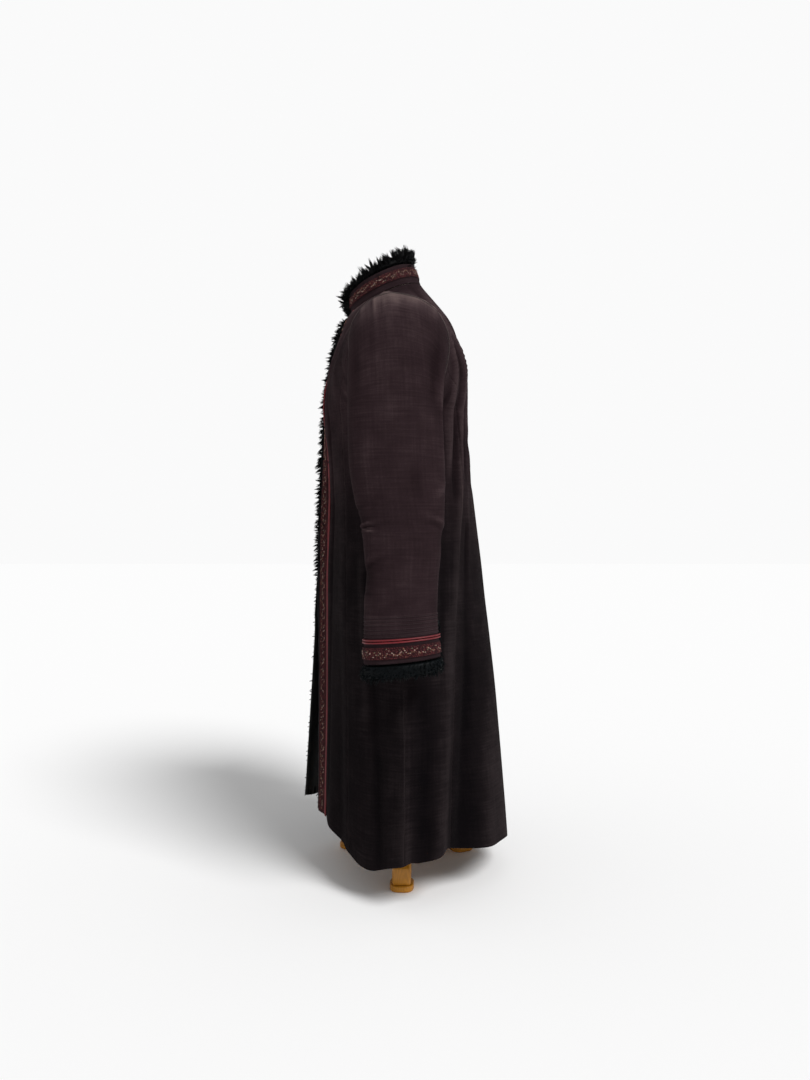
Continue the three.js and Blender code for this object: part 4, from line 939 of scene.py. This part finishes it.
# The sleeves and collar are painted lit all over, from the shoulders to the cuffs.
SLEEVE_CLOTH = velveteen("velveteen_faded", 1.0)
BRAID = braid_ground()
PIPING = satin()
SILKS = {
    "red": thread("braid_red_silk", (0.055, 0.008, 0.010), (0.27, 0.040, 0.044), 0.5),
    "gold": thread("braid_gold_silk", (0.16, 0.075, 0.045), (0.38, 0.22, 0.13), 0.5),
    "cream": thread("braid_cream_silk", (0.26, 0.17, 0.13), (0.58, 0.46, 0.38), 0.5),
    "green": thread("braid_green_silk", (0.09, 0.095, 0.055), (0.24, 0.25, 0.16), 0.5),
}
BINDING = thread("armhole_binding", (0.034, 0.023, 0.023), (0.105, 0.078, 0.075), 0.8)
BROWN_THREAD = thread("cloth_thread", (0.022, 0.014, 0.015), (0.095, 0.064, 0.066), 0.7)
BLACK_FUR = fur("fur_black", (0.0005, 0.0005, 0.0006), (0.0034, 0.0035, 0.0041))
TEAL_FUR = fur("fur_black_teal", (0.0003, 0.0007, 0.0009), (0.0015, 0.0034, 0.0046))


def finished(piece, slot, *nodes, material=None):
    """Rides the piece on the part's one body, gives it the material if one is given and hides what
    it replaces. The slot is not used.
    """
    if material:
        piece.data.materials.clear()
        piece.data.materials.append(material)
    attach(piece, "root")
    if nodes:
        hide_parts(*nodes)
    return piece


# ---- Braid, piping and stitches ---------------------------------------------------------------
def lengths_along(p):
    """The distance gone along each column of a grid, averaged over the columns."""
    steps = np.linalg.norm(np.diff(p, axis=0), axis=2).mean(axis=1)
    return np.concatenate([[0], np.cumsum(steps)])


def on_ribbon(p, n, along, across):
    """Points, normals and directions at places `along` mm and `across` (0 to 1) of a ribbon."""
    gone = lengths_along(p)
    i = np.interp(along, gone, np.arange(len(gone)))
    j = across * (p.shape[1] - 1)
    i0 = np.clip(np.floor(i).astype(int), 0, len(gone) - 2)
    j0 = np.clip(np.floor(j).astype(int), 0, p.shape[1] - 2)
    fi, fj = (i - i0)[:, None], (j - j0)[:, None]

    def between(g):
        low = g[i0, j0] * (1 - fj) + g[i0, j0 + 1] * fj
        high = g[i0 + 1, j0] * (1 - fj) + g[i0 + 1, j0 + 1] * fj
        return low * (1 - fi) + high * fi

    way = unit(p[i0 + 1, j0] - p[i0, j0])
    over = unit(p[i0, j0 + 1] - p[i0, j0])
    return between(p), unit(between(n)), way, over


# The braid's knots, one repeat: along in mm, across (0 to 1), turn in degrees, length and width,
# silk. They climb and fall over a ground filled with small red stitches.
REPEAT = 21.0
KNOTS = [
    (1.0, 0.34, 20, 2.9, 2.0, "gold"),
    (3.6, 0.46, 65, 2.7, 1.9, "cream"), (6.0, 0.60, 40, 3.0, 2.0, "cream"),
    (8.6, 0.70, 0, 2.8, 1.9, "gold"), (11.4, 0.62, -40, 2.8, 2.0, "cream"),
    (13.8, 0.48, -60, 2.6, 1.9, "cream"),
    (16.4, 0.36, -15, 2.9, 1.9, "gold"),
    (18.8, 0.30, 10, 2.4, 1.7, "cream"), (4.6, 0.24, 80, 2.4, 1.6, "gold"),
    (9.0, 0.42, 30, 2.2, 1.6, "green"),
    (15.0, 0.70, -20, 2.2, 1.6, "green"), (12.2, 0.30, 50, 2.3, 1.5, "gold"),
]
KNOTS_MISSING = 0.15
FILLING = dict(rows=(0.07, 0.19, 0.31, 0.43, 0.55, 0.67, 0.79, 0.92), pitch=3.5, long=2.5,
               wide=1.0, missing=0.18)
# How far a stitch strays: along in mm, across for the filling and for a knot, and in degrees.
STRAY = dict(along=0.5, filling=0.02, knot=0.07, turn=18)


def braid_stitches(length, silk, random):
    """Each stitch of one silk down a braid: along, across, turn, length and width."""
    if silk == "red":
        pitch, rows = FILLING["pitch"], FILLING["rows"]
        along = np.arange(pitch, length - pitch, pitch)
        chart = np.array([
            (at + pitch / 2 * (i % 2), row, 25 if i % 2 else -25, FILLING["long"], FILLING["wide"])
            for at in along for i, row in enumerate(rows)])
        chart = chart[random.uniform(size=len(chart)) > FILLING["missing"]]
    else:
        starts = np.arange(0.5 * (length % REPEAT), length - REPEAT * 0.9, REPEAT)
        knots = np.array([knot[:5] for knot in KNOTS if knot[5] == silk])
        chart = np.tile(knots, (len(starts), 1))
        chart[:, 0] += np.repeat(starts, len(knots))
        chart = chart[random.uniform(size=len(chart)) > KNOTS_MISSING]
    across = STRAY["filling" if silk == "red" else "knot"]
    for column, stray in enumerate((STRAY["along"], across, STRAY["turn"])):
        chart[:, column] += random.normal(0, stray, len(chart))
    chart[:, 3:] *= random.uniform(0.7, 1.15, (len(chart), 1))
    return chart


def stitch_points(name, p, up, along, size):
    """A cloud of points that carries what each stitch needs."""
    cloud = mesh_object(name, p, [], smooth=False)
    for attribute, values in (("up", up), ("along", along), ("size", size * MM)):
        store(cloud.data, attribute, values)
    return cloud


def joined(name, pieces):
    """One mesh of several, with all their materials."""
    keep = pieces[0]
    chosen = dict(active_object=keep, object=keep, selected_editable_objects=pieces)
    with bpy.context.temp_override(**chosen):
        bpy.ops.object.join()
    keep.name = name
    keep.data.name = name
    return keep


def braid(name, p, n, mirrored, turned=False):
    """A woven ribbon on the grid p (along, across), worked with the charted stitches."""
    p, n = sided(mirrored, p, n)
    if mirrored != turned:
        p, n = (x[:, ::-1] for x in (p, n))
    lift = GAP + BRAID_RISE
    crown = 0.35 * np.sin(np.linspace(0, math.pi, p.shape[1]))[None, :, None]
    face = p + n * (lift + crown)
    ribbon = shell(f"{name}_ribbon", face, n, BRAID_RISE, inset=False)
    ribbon.data.materials.append(BRAID)
    length = lengths_along(face)[-1]
    pieces = [ribbon]
    random = np.random.default_rng(int(length))
    for colour, silk in SILKS.items():
        chart = braid_stitches(length, colour, random)
        spots, up, way, over = on_ribbon(face, n, chart[:, 0], np.clip(chart[:, 1], 0.05, 0.95))
        angle = np.radians(chart[:, 2])[:, None]
        size = np.stack([chart[:, 3], chart[:, 4], chart[:, 4] * 0.85], axis=1)
        laid = way * np.cos(angle) + over * np.sin(angle)
        cloud = stitch_points(f"{name}_{colour}", spots, up, laid, size)
        pieces.append(STITCHES.grow(cloud, Stitch=STITCH, Material=silk))
    return finished(joined(f"{name}_worked", pieces), "braid", name)


def cords(name, lines, radius, material, sides=10):
    """Round cords along lines of points."""
    points = np.concatenate(lines)
    mesh = bpy.data.meshes.new(name)
    edges, start = [], 0
    for line in lines:
        edges += [(start + i, start + i + 1) for i in range(len(line) - 1)]
        start += len(line)
    mesh.from_pydata((points * MM).tolist(), edges, [])
    return TUBES.grow(add_object(name, mesh), Radius=radius * MM, Sides=sides, Material=material)


def piping(name, p, n, right):
    """Two satin cords along the two columns of a grid on the cloth."""
    lines, = sided(right, p + n * (CORD_RADIUS + GAP))
    cord = cords(f"{name}_cords", [lines[:, 0], lines[:, 1]], CORD_RADIUS, PIPING)
    return finished(cord, "piping", name)


def running_stitches(name, p, n, across, stitch, material):
    """A row of stitches along one line of a ribbon's grid."""
    pitch, long, wide = stitch["pitch"], stitch["long"], stitch["wide"]
    length = lengths_along(p)[-1]
    places = np.arange(pitch, length - pitch / 2, pitch)
    spots, up, way, _ = on_ribbon(p, n, places, np.full(len(places), float(across)))
    size = np.tile([long, wide, wide * 0.8], (len(places), 1))
    cloud = stitch_points(name, spots, up, way, size)
    return STITCHES.grow(cloud, Stitch=STITCH, Material=material)


def as_sheet(piece, grid, held, rests_on, **sewn):
    """Works out the flat size and area of the cut that made the grid."""
    size, area = flat_size(grid)


# ---- Body panels ------------------------------------------------------------------------------
SEAM_REACH = 0.045  # how far a seam's turned-in cloth reaches either side, in u
SEAM_THICK = 0.4
SEAM_BEHIND = 0.05


def seam_run(w):
    return SEAM_END * np.clip((w - UNDERARM) / SEAM_TURN, 0, 1) ** 1.3


def front_seam(w):
    return np.where(w > UNDERARM + SEAM_TURN, SIDE_SEAM_U, FRONT_SEAM_U + seam_run(w))


def back_seam(w):
    return np.where(w > UNDERARM + SEAM_TURN, SIDE_SEAM_U, BACK_SEAM_U - seam_run(w))


def spaced(start, end, columns):
    return start[:, None] + (end - start)[:, None] * np.linspace(0, 1, columns)[None, :]


SKIRT_W = np.linspace(0, UNDERARM, 176)
YOKE_W = np.linspace(UNDERARM, TOP, 57)[1:]
BODY_W = np.concatenate([SKIRT_W, YOKE_W])
SIDE_W = BODY_W[BODY_W <= UNDERARM + SEAM_TURN + 1e-9]
FRONT_COLUMNS, SIDE_COLUMNS, BACK_COLUMNS = 41, 23, 37
BRAID_COLUMNS = 7
REST = ["dress_form"]


def panel(name, start, end, w, columns, half, mirrored):
    """A panel between two lines of places u, and the grid that it was made from."""
    places = spaced(start, end, columns)
    p, n = coat_cells(places, w[:, None], half, mirrored)
    relief = wear_and_shade_height(places, w[:, None], half)
    piece = shell(f"{name}_cloth", p, n, mirrored=mirrored, relief=relief)
    finished(piece, "cord_cloth", name, material=CLOTH)
    return piece, p


def seam_strip(name, seam, w, half, mirrored):
    """The seam's turned-in cloth: a thin strip behind the seam between two panels."""
    limit = np.where((w > UNDERARM) & (half == "front"), SIDE_SEAM_U, PAST_BACK_U)
    floor = np.where((w > UNDERARM) & (half == "back"), SIDE_SEAM_U, 0)
    low, high = (np.clip(seam + reach, floor, limit) for reach in (-SEAM_REACH, SEAM_REACH))
    p, n = coat_cells(spaced(low, high, 5), w[:, None], half, mirrored)
    behind = p - n * (WALL + SEAM_BEHIND)
    strip = shell(name, behind, n, SEAM_THICK, mirrored=mirrored, inset=False)
    return finished(strip, "cord_cloth", material=CLOTH)


def make_fronts(side):
    right = side == "right"
    w = BODY_W
    front, cut = panel(f"front_{side}", 0 * w, front_seam(w), w, FRONT_COLUMNS, "front", right)

    def cells(distances):
        return coat_cells(from_edge(distances, w, right), w[:, None], "front", right)

    ribbon = cells(np.linspace(BRAID_INSET, BRAID_WIDTH, BRAID_COLUMNS))
    trims = [braid(f"braid_front_{side}", *ribbon, right)]
    cord_lines = cells([PIPING_FROM + PIPING_WIDTH * part for part in CORD_PLACES])
    trims.append(piping(f"piping_front_{side}", *cord_lines, right))
    as_sheet(front, cut, "draped", REST, with_pieces=trims)


def make_sides(side):
    right = side == "right"
    w = SIDE_W
    low = w[w <= UNDERARM]
    front_line, back_line, side_line = front_seam(w), back_seam(w), np.full_like(w, SIDE_SEAM_U)
    for name, start, end, half, seams in (
        ("side_front", front_line, side_line, "front",
         (("seam_front", front_line, w), ("seam_side", side_line[:len(low)], low))),
        ("side_back", side_line, back_line, "back", (("seam_back", back_line, w),)),
    ):
        piece, cut = panel(f"{name}_{side}", start, end, w, SIDE_COLUMNS, half, right)
        sewn = [seam_strip(f"{seam}_{side}", line, heights, half, right)
                for seam, line, heights in seams]
        as_sheet(piece, cut, "draped", REST, with_pieces=sewn)


def make_back():
    w = BODY_W
    half = spaced(back_seam(w), np.full_like(w, CENTRE_BACK_U), BACK_COLUMNS)
    p, n = coat_cells(half, w[:, None], "back", False)
    p, n = (np.concatenate([x, x[:, -2::-1] * (-1, 1, 1)], axis=1) for x in (p, n))
    n[:, BACK_COLUMNS - 1, 0] = 0
    n = unit(n)
    relief = wear_and_shade_height(half, w[:, None], "back")
    relief = np.concatenate([relief, relief[:, -2::-1]], axis=1)
    cloth = shell("back_cloth", p, n, relief=relief)
    as_sheet(finished(cloth, "cord_cloth", "back", material=CLOTH), p, "draped", REST)


# ---- Sleeves ----------------------------------------------------------------------------------
# Dents across the sleeve (-) and ridges (+): ring, degrees, reach in rings and degrees, slant,
# depth.
SLEEVE_CREASES = [
    (3.1, 88, 0.30, 42, 0, -3.5), (4.8, 84, 0.3, 36, 0, -4.5), (3.9, 262, 0.35, 34, 0, -4),
    (0.1, 262, 0.8, 30, 0, -7),
    (3.30, 66, 0.055, 30, 0.004, 3.0),
    (3.44, 62, 0.06, 30, 0.003, -3.4), (3.60, 58, 0.05, 26, -0.003, 2.4),
    (2.75, 74, 0.07, 24, 0.003, -2.4),
    (4.45, 62, 0.055, 24, 0.004, 2.2), (4.58, 60, 0.05, 24, 0.004, -2.6),
    (5.2, 70, 0.07, 24, -0.002, -2.0),
    (3.4, -60, 0.12, 26, -0.006, -2.8), (3.1, -58, 0.09, 24, -0.006, 2.2),
    (2.3, -66, 0.16, 18, 0.01, 2.6), (1.3, 40, 0.5, 7, 0.0, 1.8), (1.9, -22, 0.7, 8, 0.0, -1.6),
    (-0.35, 56, 0.25, 10, 0.0, -3.0),
    (-0.3, -48, 0.3, 9, 0.0, -3.4), (-0.1, -70, 0.35, 8, 0.0, 4.0),
    (-0.55, 21, 0.28, 2.2, 0.0, 3.0),
    (-0.55, 24.5, 0.28, 2.0, 0.0, -2.6), (-0.72, 8, 0.12, 2.0, 0.0, 2.2),
    (-0.70, 2, 0.13, 2.0, 0.0, 2.2), (-0.74, -6, 0.11, 2.2, 0.0, 1.8), (0.6, -74, 0.7, 7, 0.0, 2.6),
]


def sleeve(angle, k):
    """The plain sleeve: `k` is 0 at the underarm ring, CUFF at the edge, and below 0 the cap."""
    z, x, front, back, thick, tilt = spline(SLEEVE_RINGS, np.maximum(k, 0)).T
    sin, cos = np.sin(np.radians(angle)), np.cos(np.radians(angle))
    middle, reach = (front + back) / 2, (back - front) / 2
    p = np.stack([x + thick * cos, middle - reach * sin, z - tilt * sin], axis=1)
    root = armhole_at(angle)
    span = np.linalg.norm(root - p, axis=1)[:, None]
    leaving = np.stack([0.95 + 0 * cos, 0 * cos, -0.26 - 0.13 * cos], axis=1) * 0.8 * span
    arriving = np.array([0, 0, -1.0]) * span
    f = np.clip(1 + k, 0, 1)[:, None]
    cap = (3 * f ** 2 - 2 * f ** 3) * p + (2 * f ** 3 - 3 * f ** 2 + 1) * root
    cap = cap + (f ** 3 - 2 * f ** 2 + f) * leaving + (f ** 3 - f ** 2) * arriving
    return np.where((k < 0)[:, None], cap, p)


def sleeve_relief(angle, k):
    """The sleeve's creases, the gathers round its head, and the pin tucks above its cuff."""
    def turned(at):
        return np.mod(angle - at + 540, 360) - 180

    height = 0.25 * np.sin(5.0 * k + 0.03 * angle) * np.sin(0.08 * angle - 1.4 * k)
    for ring, at, long, wide, slant, depth in SLEEVE_CREASES:
        off = turned(at)
        down = (k - ring - slant * off) / long
        height = height + depth * np.exp(-(down ** 2) - (off / wide) ** 2)
    tucks = HEAD_TUCKS
    for i in range(tucks["count"]):
        at = tucks["spacing"] * (i - (tucks["count"] - 1) / 2)
        swell = ease(k + 1, 0, 0.1) * (1 - ease(k + 1, 0.1, tucks["fade"])) * (k < 0)
        height = height + tucks["rise"] * swell * np.exp(-((turned(at) / tucks["width"]) ** 2))
    above_edge = spline(SLEEVE_RINGS[:, 0], np.maximum(k, 0)) - SLEEVE_RINGS[CUFF, 0]
    for at in TUCK_HEIGHTS:
        height = height + TUCK_RISE * bump(above_edge, at, TUCK_WIDTH)
    return height


def surface_normal(surface, a, b, step_a, step_b, limits):
    low, high = limits
    across = surface(a + step_a, b) - surface(a - step_a, b)
    along = surface(a, np.minimum(b + step_b, high)) - surface(a, np.maximum(b - step_b, low))
    return unit(np.cross(across, along))


def sleeve_cells(angle, k):
    shape = np.broadcast(angle, k).shape
    angle, k = (np.broadcast_to(x, shape).astype(float).ravel() for x in (angle, k))
    limits = (-1, CUFF)

    def outer(a, b):
        plain = surface_normal(sleeve, a, b, 0.4, 0.02, limits)
        return sleeve(a, b) + plain * sleeve_relief(a, b)[:, None]

    p = outer(angle, k)
    n = surface_normal(outer, angle, k, 0.4, 0.012, limits)
    first = k <= -1 + 1e-9
    p[first] += unit(outer(angle, np.full_like(k, -0.95))[first] - p[first]) * SLEEVE_LIFT
    return p.reshape(*shape, 3), n.reshape(*shape, 3)


def ring_at_height(height):
    """The ring number at each height above the cuff edge."""
    k = np.linspace(0, CUFF, 1401)
    heights = spline(SLEEVE_RINGS[:, 0], k) - SLEEVE_RINGS[CUFF, 0]
    return np.interp(-np.asarray(height, float), -heights, k)


def slit_degrees(k):
    """How far each edge of the slit is drawn back on ring k."""
    height = spline(SLEEVE_RINGS[:, 0], np.maximum(k, 0)) - SLEEVE_RINGS[CUFF, 0]
    opened = SLIT_WIDTH * (1 - ease(height, SLIT_LENGTH - SLIT_TAPER, SLIT_LENGTH))
    return np.degrees(opened / 2 / SLEEVE_RINGS[CUFF, 4])


ROLL_DEPTH = 2.4  # the roll of cloth inside the armhole seam
ROLL_RADIUS = 2.2
BINDING_AT = (-0.985, -0.955)  # rings just off the armhole
BINDING_LIFT = 0.5
BINDING_RADIUS = 0.55
BAND_PLACES = 110  # round the cuff
UPPER_COLUMNS, UNDER_COLUMNS = 54, 38
SLEEVE_K = np.concatenate([
    np.linspace(-1, 0, 48), np.linspace(0, ring_at_height(96), 88)[1:],
    ring_at_height(np.arange(94.8, -0.1, -1.2)),
])


def cuff_band(heights):
    """The grid round the cuff from slit edge to slit edge, at heights above the cuff's edge."""
    drawn = slit_degrees(np.array([CUFF]))[0]
    around = np.linspace(BACK_SEAM_AT + drawn, BACK_SEAM_AT + 360 - drawn, BAND_PLACES)
    return sleeve_cells(around[:, None], ring_at_height(heights)[None, :])


def armhole_trims(side, right):
    """The fine binding on the armhole seam, and the roll of cloth inside it."""
    seam = np.linspace(0, 360, 181)
    ring, way = sleeve_cells(seam[:, None], np.array([BINDING_AT]))
    ring, roll = sided(
        right, ring + way * BINDING_LIFT, armhole_at(seam) - way[:, 0] * ROLL_DEPTH)
    binding = cords(f"armhole_binding_{side}", [ring[:, 0], ring[:, 1]], BINDING_RADIUS, BINDING,
                    sides=6)
    inner = cords(f"sleeve_head_roll_{side}", [roll], ROLL_RADIUS, SLEEVE_CLOTH, sides=8)
    return [finished(piece, "cord_cloth") for piece in (binding, inner)]


def tuck_stitches(side, right):
    """A row of stitches under each pin tuck."""
    p, n = cuff_band(TUCK_BAND)
    p, n = sided(right, p + n * GAP, n)
    low, high = TUCK_BAND
    rows = [
        running_stitches(f"tuck_{i}", p, n, (at - TUCK_STITCH["drop"] - low) / (high - low),
                         TUCK_STITCH, BROWN_THREAD)
        for i, at in enumerate(TUCK_HEIGHTS)]
    return finished(joined(f"tuck_stitches_{side}", rows), "cord_cloth")


def make_sleeve(side):
    right = side == "right"
    k = SLEEVE_K
    slit = slit_degrees(k)
    front_line = FRONT_SEAM_AT + 0 * k
    upper = spaced(BACK_SEAM_AT + slit, front_line, UPPER_COLUMNS)
    under = spaced(front_line, BACK_SEAM_AT + 360 - slit, UNDER_COLUMNS)
    ribbon = cuff_band(np.linspace(*CUFF_BRAID, BRAID_COLUMNS))
    low, high = CUFF_PIPING
    cord_lines = cuff_band([low + (high - low) * part for part in CORD_PLACES])
    trims = [
        braid(f"braid_cuff_{side}", *ribbon, right),
        piping(f"piping_cuff_{side}", *cord_lines, right),
        *armhole_trims(side, right),
        tuck_stitches(side, right),
    ]
    for name, angles, sewn in (
        (f"sleeve_upper_{side}", upper, trims), (f"sleeve_under_{side}", under, [])):
        p, n = sleeve_cells(angles, k[:, None])
        relief = sleeve_relief(angles, k[:, None] + 0 * angles)
        cut = shell(f"{name}_cloth", p, n, mirrored=right, relief=relief)
        piece = finished(cut, "cord_cloth", name, material=SLEEVE_CLOTH)
        as_sheet(piece, p, "hung", [f"front_{side}", "back"], with_pieces=sewn)


# ---- Collar -----------------------------------------------------------------------------------
COLLAR_ROWS = 13
COLLAR_WAVE = 0.5


def collar_cells(angle, mm_up):
    """The collar's face at each angle, mm above the neck seam."""
    shape = np.broadcast(angle, mm_up).shape
    angle, mm_up = (np.broadcast_to(x, shape).astype(float).ravel() for x in (angle, mm_up))

    def at(a, h):
        return mix(neck_ring(NECK, a), neck_ring(COLLAR_TOP, a), h)

    tall = np.linalg.norm(at(angle, 0 * angle + 1) - at(angle, 0 * angle), axis=1)
    h = np.minimum(mm_up / tall, 1)
    n = surface_normal(at, angle, h, 0.4, 0.05, (0, 1))
    return at(angle, h).reshape(*shape, 3), n.reshape(*shape, 3)


def make_collar():
    angles = np.linspace(COLLAR_OPENING, 360 - COLLAR_OPENING, 121)
    tall = np.linalg.norm(neck_ring(COLLAR_TOP, angles) - neck_ring(NECK, angles), axis=1)
    rows = np.linspace(0, 1, COLLAR_ROWS)[None, :]
    p, n = collar_cells(angles[:, None], COLLAR_LIFT + (tall[:, None] - COLLAR_LIFT) * rows)
    wave = COLLAR_WAVE * np.sin(np.radians(angles) * 7)[:, None] * rows
    p = p + n * wave[:, :, None]
    stand = shell("collar_cloth", p.transpose(1, 0, 2), n.transpose(1, 0, 2))
    finished(stand, "cord_cloth", "collar", material=SLEEVE_CLOTH)
    band = np.linspace(COLLAR_BRAID_FROM, COLLAR_BRAID_FROM + BRAID_WIDTH, BRAID_COLUMNS)
    ribbon = collar_cells(angles[:, None], band[None, :])
    strip = braid("braid_collar", *ribbon, False, turned=True)
    as_sheet(stand, p, "draped", ["back"], with_pieces=[strip])


# ---- Fur --------------------------------------------------------------------------------------
WELD = 0.00002  # points nearer than this are one, in metres
LONGEST_EDGE = 0.009


def skin_of(node, depth, lie, grow):
    """A smooth skin `depth` mm inside a node's own shape, with each point's lie and growth. `lie`
    is the share of the normal and the way that it is drawn."""
    skin = bmesh.new()
    skin.from_mesh(bpy.data.objects[node].data)
    bmesh.ops.remove_doubles(skin, verts=skin.verts, dist=WELD)
    wide = [e for e in skin.edges if e.calc_length() > LONGEST_EDGE]
    bmesh.ops.subdivide_edges(skin, edges=wide, cuts=1)
    bmesh.ops.triangulate(skin, faces=skin.faces)
    skin.normal_update()
    normals = np.array([v.normal[:] for v in skin.verts])
    points = np.array([v.co[:] for v in skin.verts]) / MM
    for vert in skin.verts:
        vert.co = vert.co - vert.normal * depth * MM
    mesh = bpy.data.meshes.new(node)
    skin.to_mesh(mesh)
    skin.free()
    mesh.shade_smooth()
    out, way = lie
    store(mesh, "lie", unit(normals * out + np.array(way)))
    store(mesh, "grow", grow(points, normals))
    return add_object(f"{node}_hair", mesh)


def locks_along(p, pitch):
    """Growth that comes and goes along the fur, so that it parts into locks."""
    along = p[:, 2] + 0.6 * p[:, 0] + 0.35 * p[:, 1]
    return 0.5 + 0.5 * np.sin(2 * math.pi * along / pitch + 1.3 * np.sin(along / (2.3 * pitch)))


def collar_growth(p, n):
    return 0.40 + 0.62 * ease(n[:, 2], -0.4, 0.6) + 0.12 * ease(-p[:, 1], 60, 120)


def front_growth(p, n):
    outside = ease(-n[:, 1], -0.2, 0.6)
    smooth = 0.45 + 0.55 * ease(p[:, 2], 540, 600)
    return (0.45 + 0.55 * outside) * smooth * (0.72 + 0.28 * locks_along(p, 17))


def cuff_growth(p, n):
    return (0.7 + 0.3 * ease(-n[:, 2], -0.1, 0.7)) * (0.8 + 0.2 * locks_along(p, 14))


def slit_growth(p, n):
    return 0.7 + 0 * p[:, 0]


# How each fur grows. Depth, lengths and the spacings of tufts and of locks are in mm.
FURS = {
    "collar": dict(depth=4.0, lie=(1.0, (0, -0.35, 0.6)), grow=collar_growth, spacing=(3.5, 4.6),
                   seed=7, lengths=(13, 21), unruly=0.3, material=BLACK_FUR),
    "front": dict(depth=3.0, lie=(1.0, (0, -0.5, -0.45)), grow=front_growth, spacing=(4.8, 6.6),
                  seed=11, lengths=(12, 17), unruly=0.35, material=BLACK_FUR),
    "cuff": dict(depth=3.2, lie=(0.8, (0, 0, -1.0)), grow=cuff_growth, spacing=(4.0, 6.4),
                 seed=17, lengths=(11, 15), unruly=0.35, material=TEAL_FUR),
    "slit": dict(depth=0.4, lie=(1.0, (0, 0, -0.9)), grow=slit_growth, spacing=(3.4, 7.0),
                 seed=23, lengths=(9, 12), unruly=0.45, material=TEAL_FUR),
}


def furred(node, kind):
    """Fur of one kind on a node's shape."""
    way = FURS[kind]
    skin = skin_of(node, way["depth"], way["lie"], way["grow"])
    close, apart = way["spacing"]
    tuft, lock = way["lengths"]
    piece = FUR.grow(
        skin, Tuft=TUFT, Lock=LOCK, Spacing=close * MM, Lock_Spacing=apart * MM,
        Seed=way["seed"], Tuft_Length=tuft * MM, Lock_Length=lock * MM, Unruly=way["unruly"],
        Material=way["material"])
    finished(piece, "fur", node)


def make_fur():
    furred("fur_collar", "collar")
    for side in ("left", "right"):
        for kind in ("front", "cuff", "slit"):
            furred(f"fur_{kind}_{side}", kind)


# ---- Dress form and stand ---------------------------------------------------------------------
def refined(node, slot, material, bevel, turn_limit):
    """A node's own shape, welded, with edges that turn more than a limit rounded."""
    copy = bmesh.new()
    copy.from_mesh(bpy.data.objects[node].data)
    bmesh.ops.remove_doubles(copy, verts=copy.verts, dist=WELD)
    flat = math.radians(1)
    bmesh.ops.dissolve_limit(copy, angle_limit=flat, verts=copy.verts, edges=copy.edges)
    mesh = bpy.data.meshes.new(f"{node}_shaped")
    copy.to_mesh(mesh)
    copy.free()
    mesh.shade_smooth()
    piece = add_object(f"{node}_shaped", mesh)
    edge = piece.modifiers.new("edge", "BEVEL")
    edge.width = bevel * MM
    edge.segments = 3
    edge.limit_method = "ANGLE"
    edge.angle_limit = math.radians(turn_limit)
    edge.harden_normals = False
    finished(piece, slot, node, material=material)


def make_stand():
    refined("dress_form", "form_cover", cotton(), 3, 40)
    wood = varnished_wood()
    for node in ("hub", "leg_1", "leg_2", "leg_3", "foot_pad_1", "foot_pad_2", "foot_pad_3"):
        refined(node, "stand_wood", wood, 1.2, 20)
    pole = bpy.data.objects["pole"]
    pole.data.materials.clear()
    pole.data.materials.append(brushed_steel())


# ---- Floor, light and camera ------------------------------------------------------------------
BACKDROP = (0.957, 0.957, 0.958)
ROOM_LIGHT = 0.42
SUN_POWER = 2.50
SUN_SPREAD = 24  # degrees across
SUN_FROM = (42, 47)  # degrees from +X towards +Y, and up
FLOOR_WHITE = (0.975, 0.975, 0.975)
LENS, SENSOR = 27.03, 36
EYE = (1.62, 0, 0.639)


def make_set():
    bpy.ops.mesh.primitive_plane_add(size=40, location=(0, 0, 0))
    floor = bpy.context.object
    floor.name = "floor"
    paint = Finish("floor_paint", Roughness=0.9, Base_Color=(*FLOOR_WHITE, 1),
                   Specular_IOR_Level=0.0)
    floor.data.materials.append(paint.material)
    world = bpy.data.worlds.new("studio")
    bpy.context.scene.world = world
    world.use_nodes = True
    nodes, links = world.node_tree.nodes, world.node_tree.links
    backdrop = nodes["Background"]
    backdrop.inputs["Color"].default_value = (*BACKDROP, 1)
    room = nodes.new("ShaderNodeBackground")
    room.inputs["Color"].default_value = (1, 1, 1, 1)
    room.inputs["Strength"].default_value = ROOM_LIGHT
    seen = nodes.new("ShaderNodeMixShader")
    links.new(nodes.new("ShaderNodeLightPath").outputs["Is Camera Ray"], seen.inputs[0])
    links.new(room.outputs[0], seen.inputs[1])
    links.new(backdrop.outputs[0], seen.inputs[2])
    links.new(seen.outputs[0], nodes["World Output"].inputs[0])
    lamp = bpy.data.lights.new("window", "SUN")
    lamp.energy = SUN_POWER
    lamp.angle = math.radians(SUN_SPREAD)
    sun = add_object("window", lamp)
    turn, climb = (math.radians(a) for a in SUN_FROM)
    sun.rotation_euler = (math.pi / 2 - climb, 0, math.pi / 2 + turn)
    camera = bpy.data.cameras.new("camera")
    camera.lens = LENS
    camera.sensor_width = SENSOR
    eye = add_object("camera", camera)
    eye.location = EYE
    eye.rotation_euler = (math.radians(90), 0, math.radians(90))
    bpy.context.scene.camera = eye
    bpy.context.scene.view_settings.view_transform = "Standard"


make_back()
for wearer_side in ("left", "right"):
    make_fronts(wearer_side)
    make_sides(wearer_side)
    make_sleeve(wearer_side)
make_collar()
make_fur()
make_stand()
make_set()
for helper in (STITCH, TUFT, LOCK):
    bpy.data.objects.remove(helper)
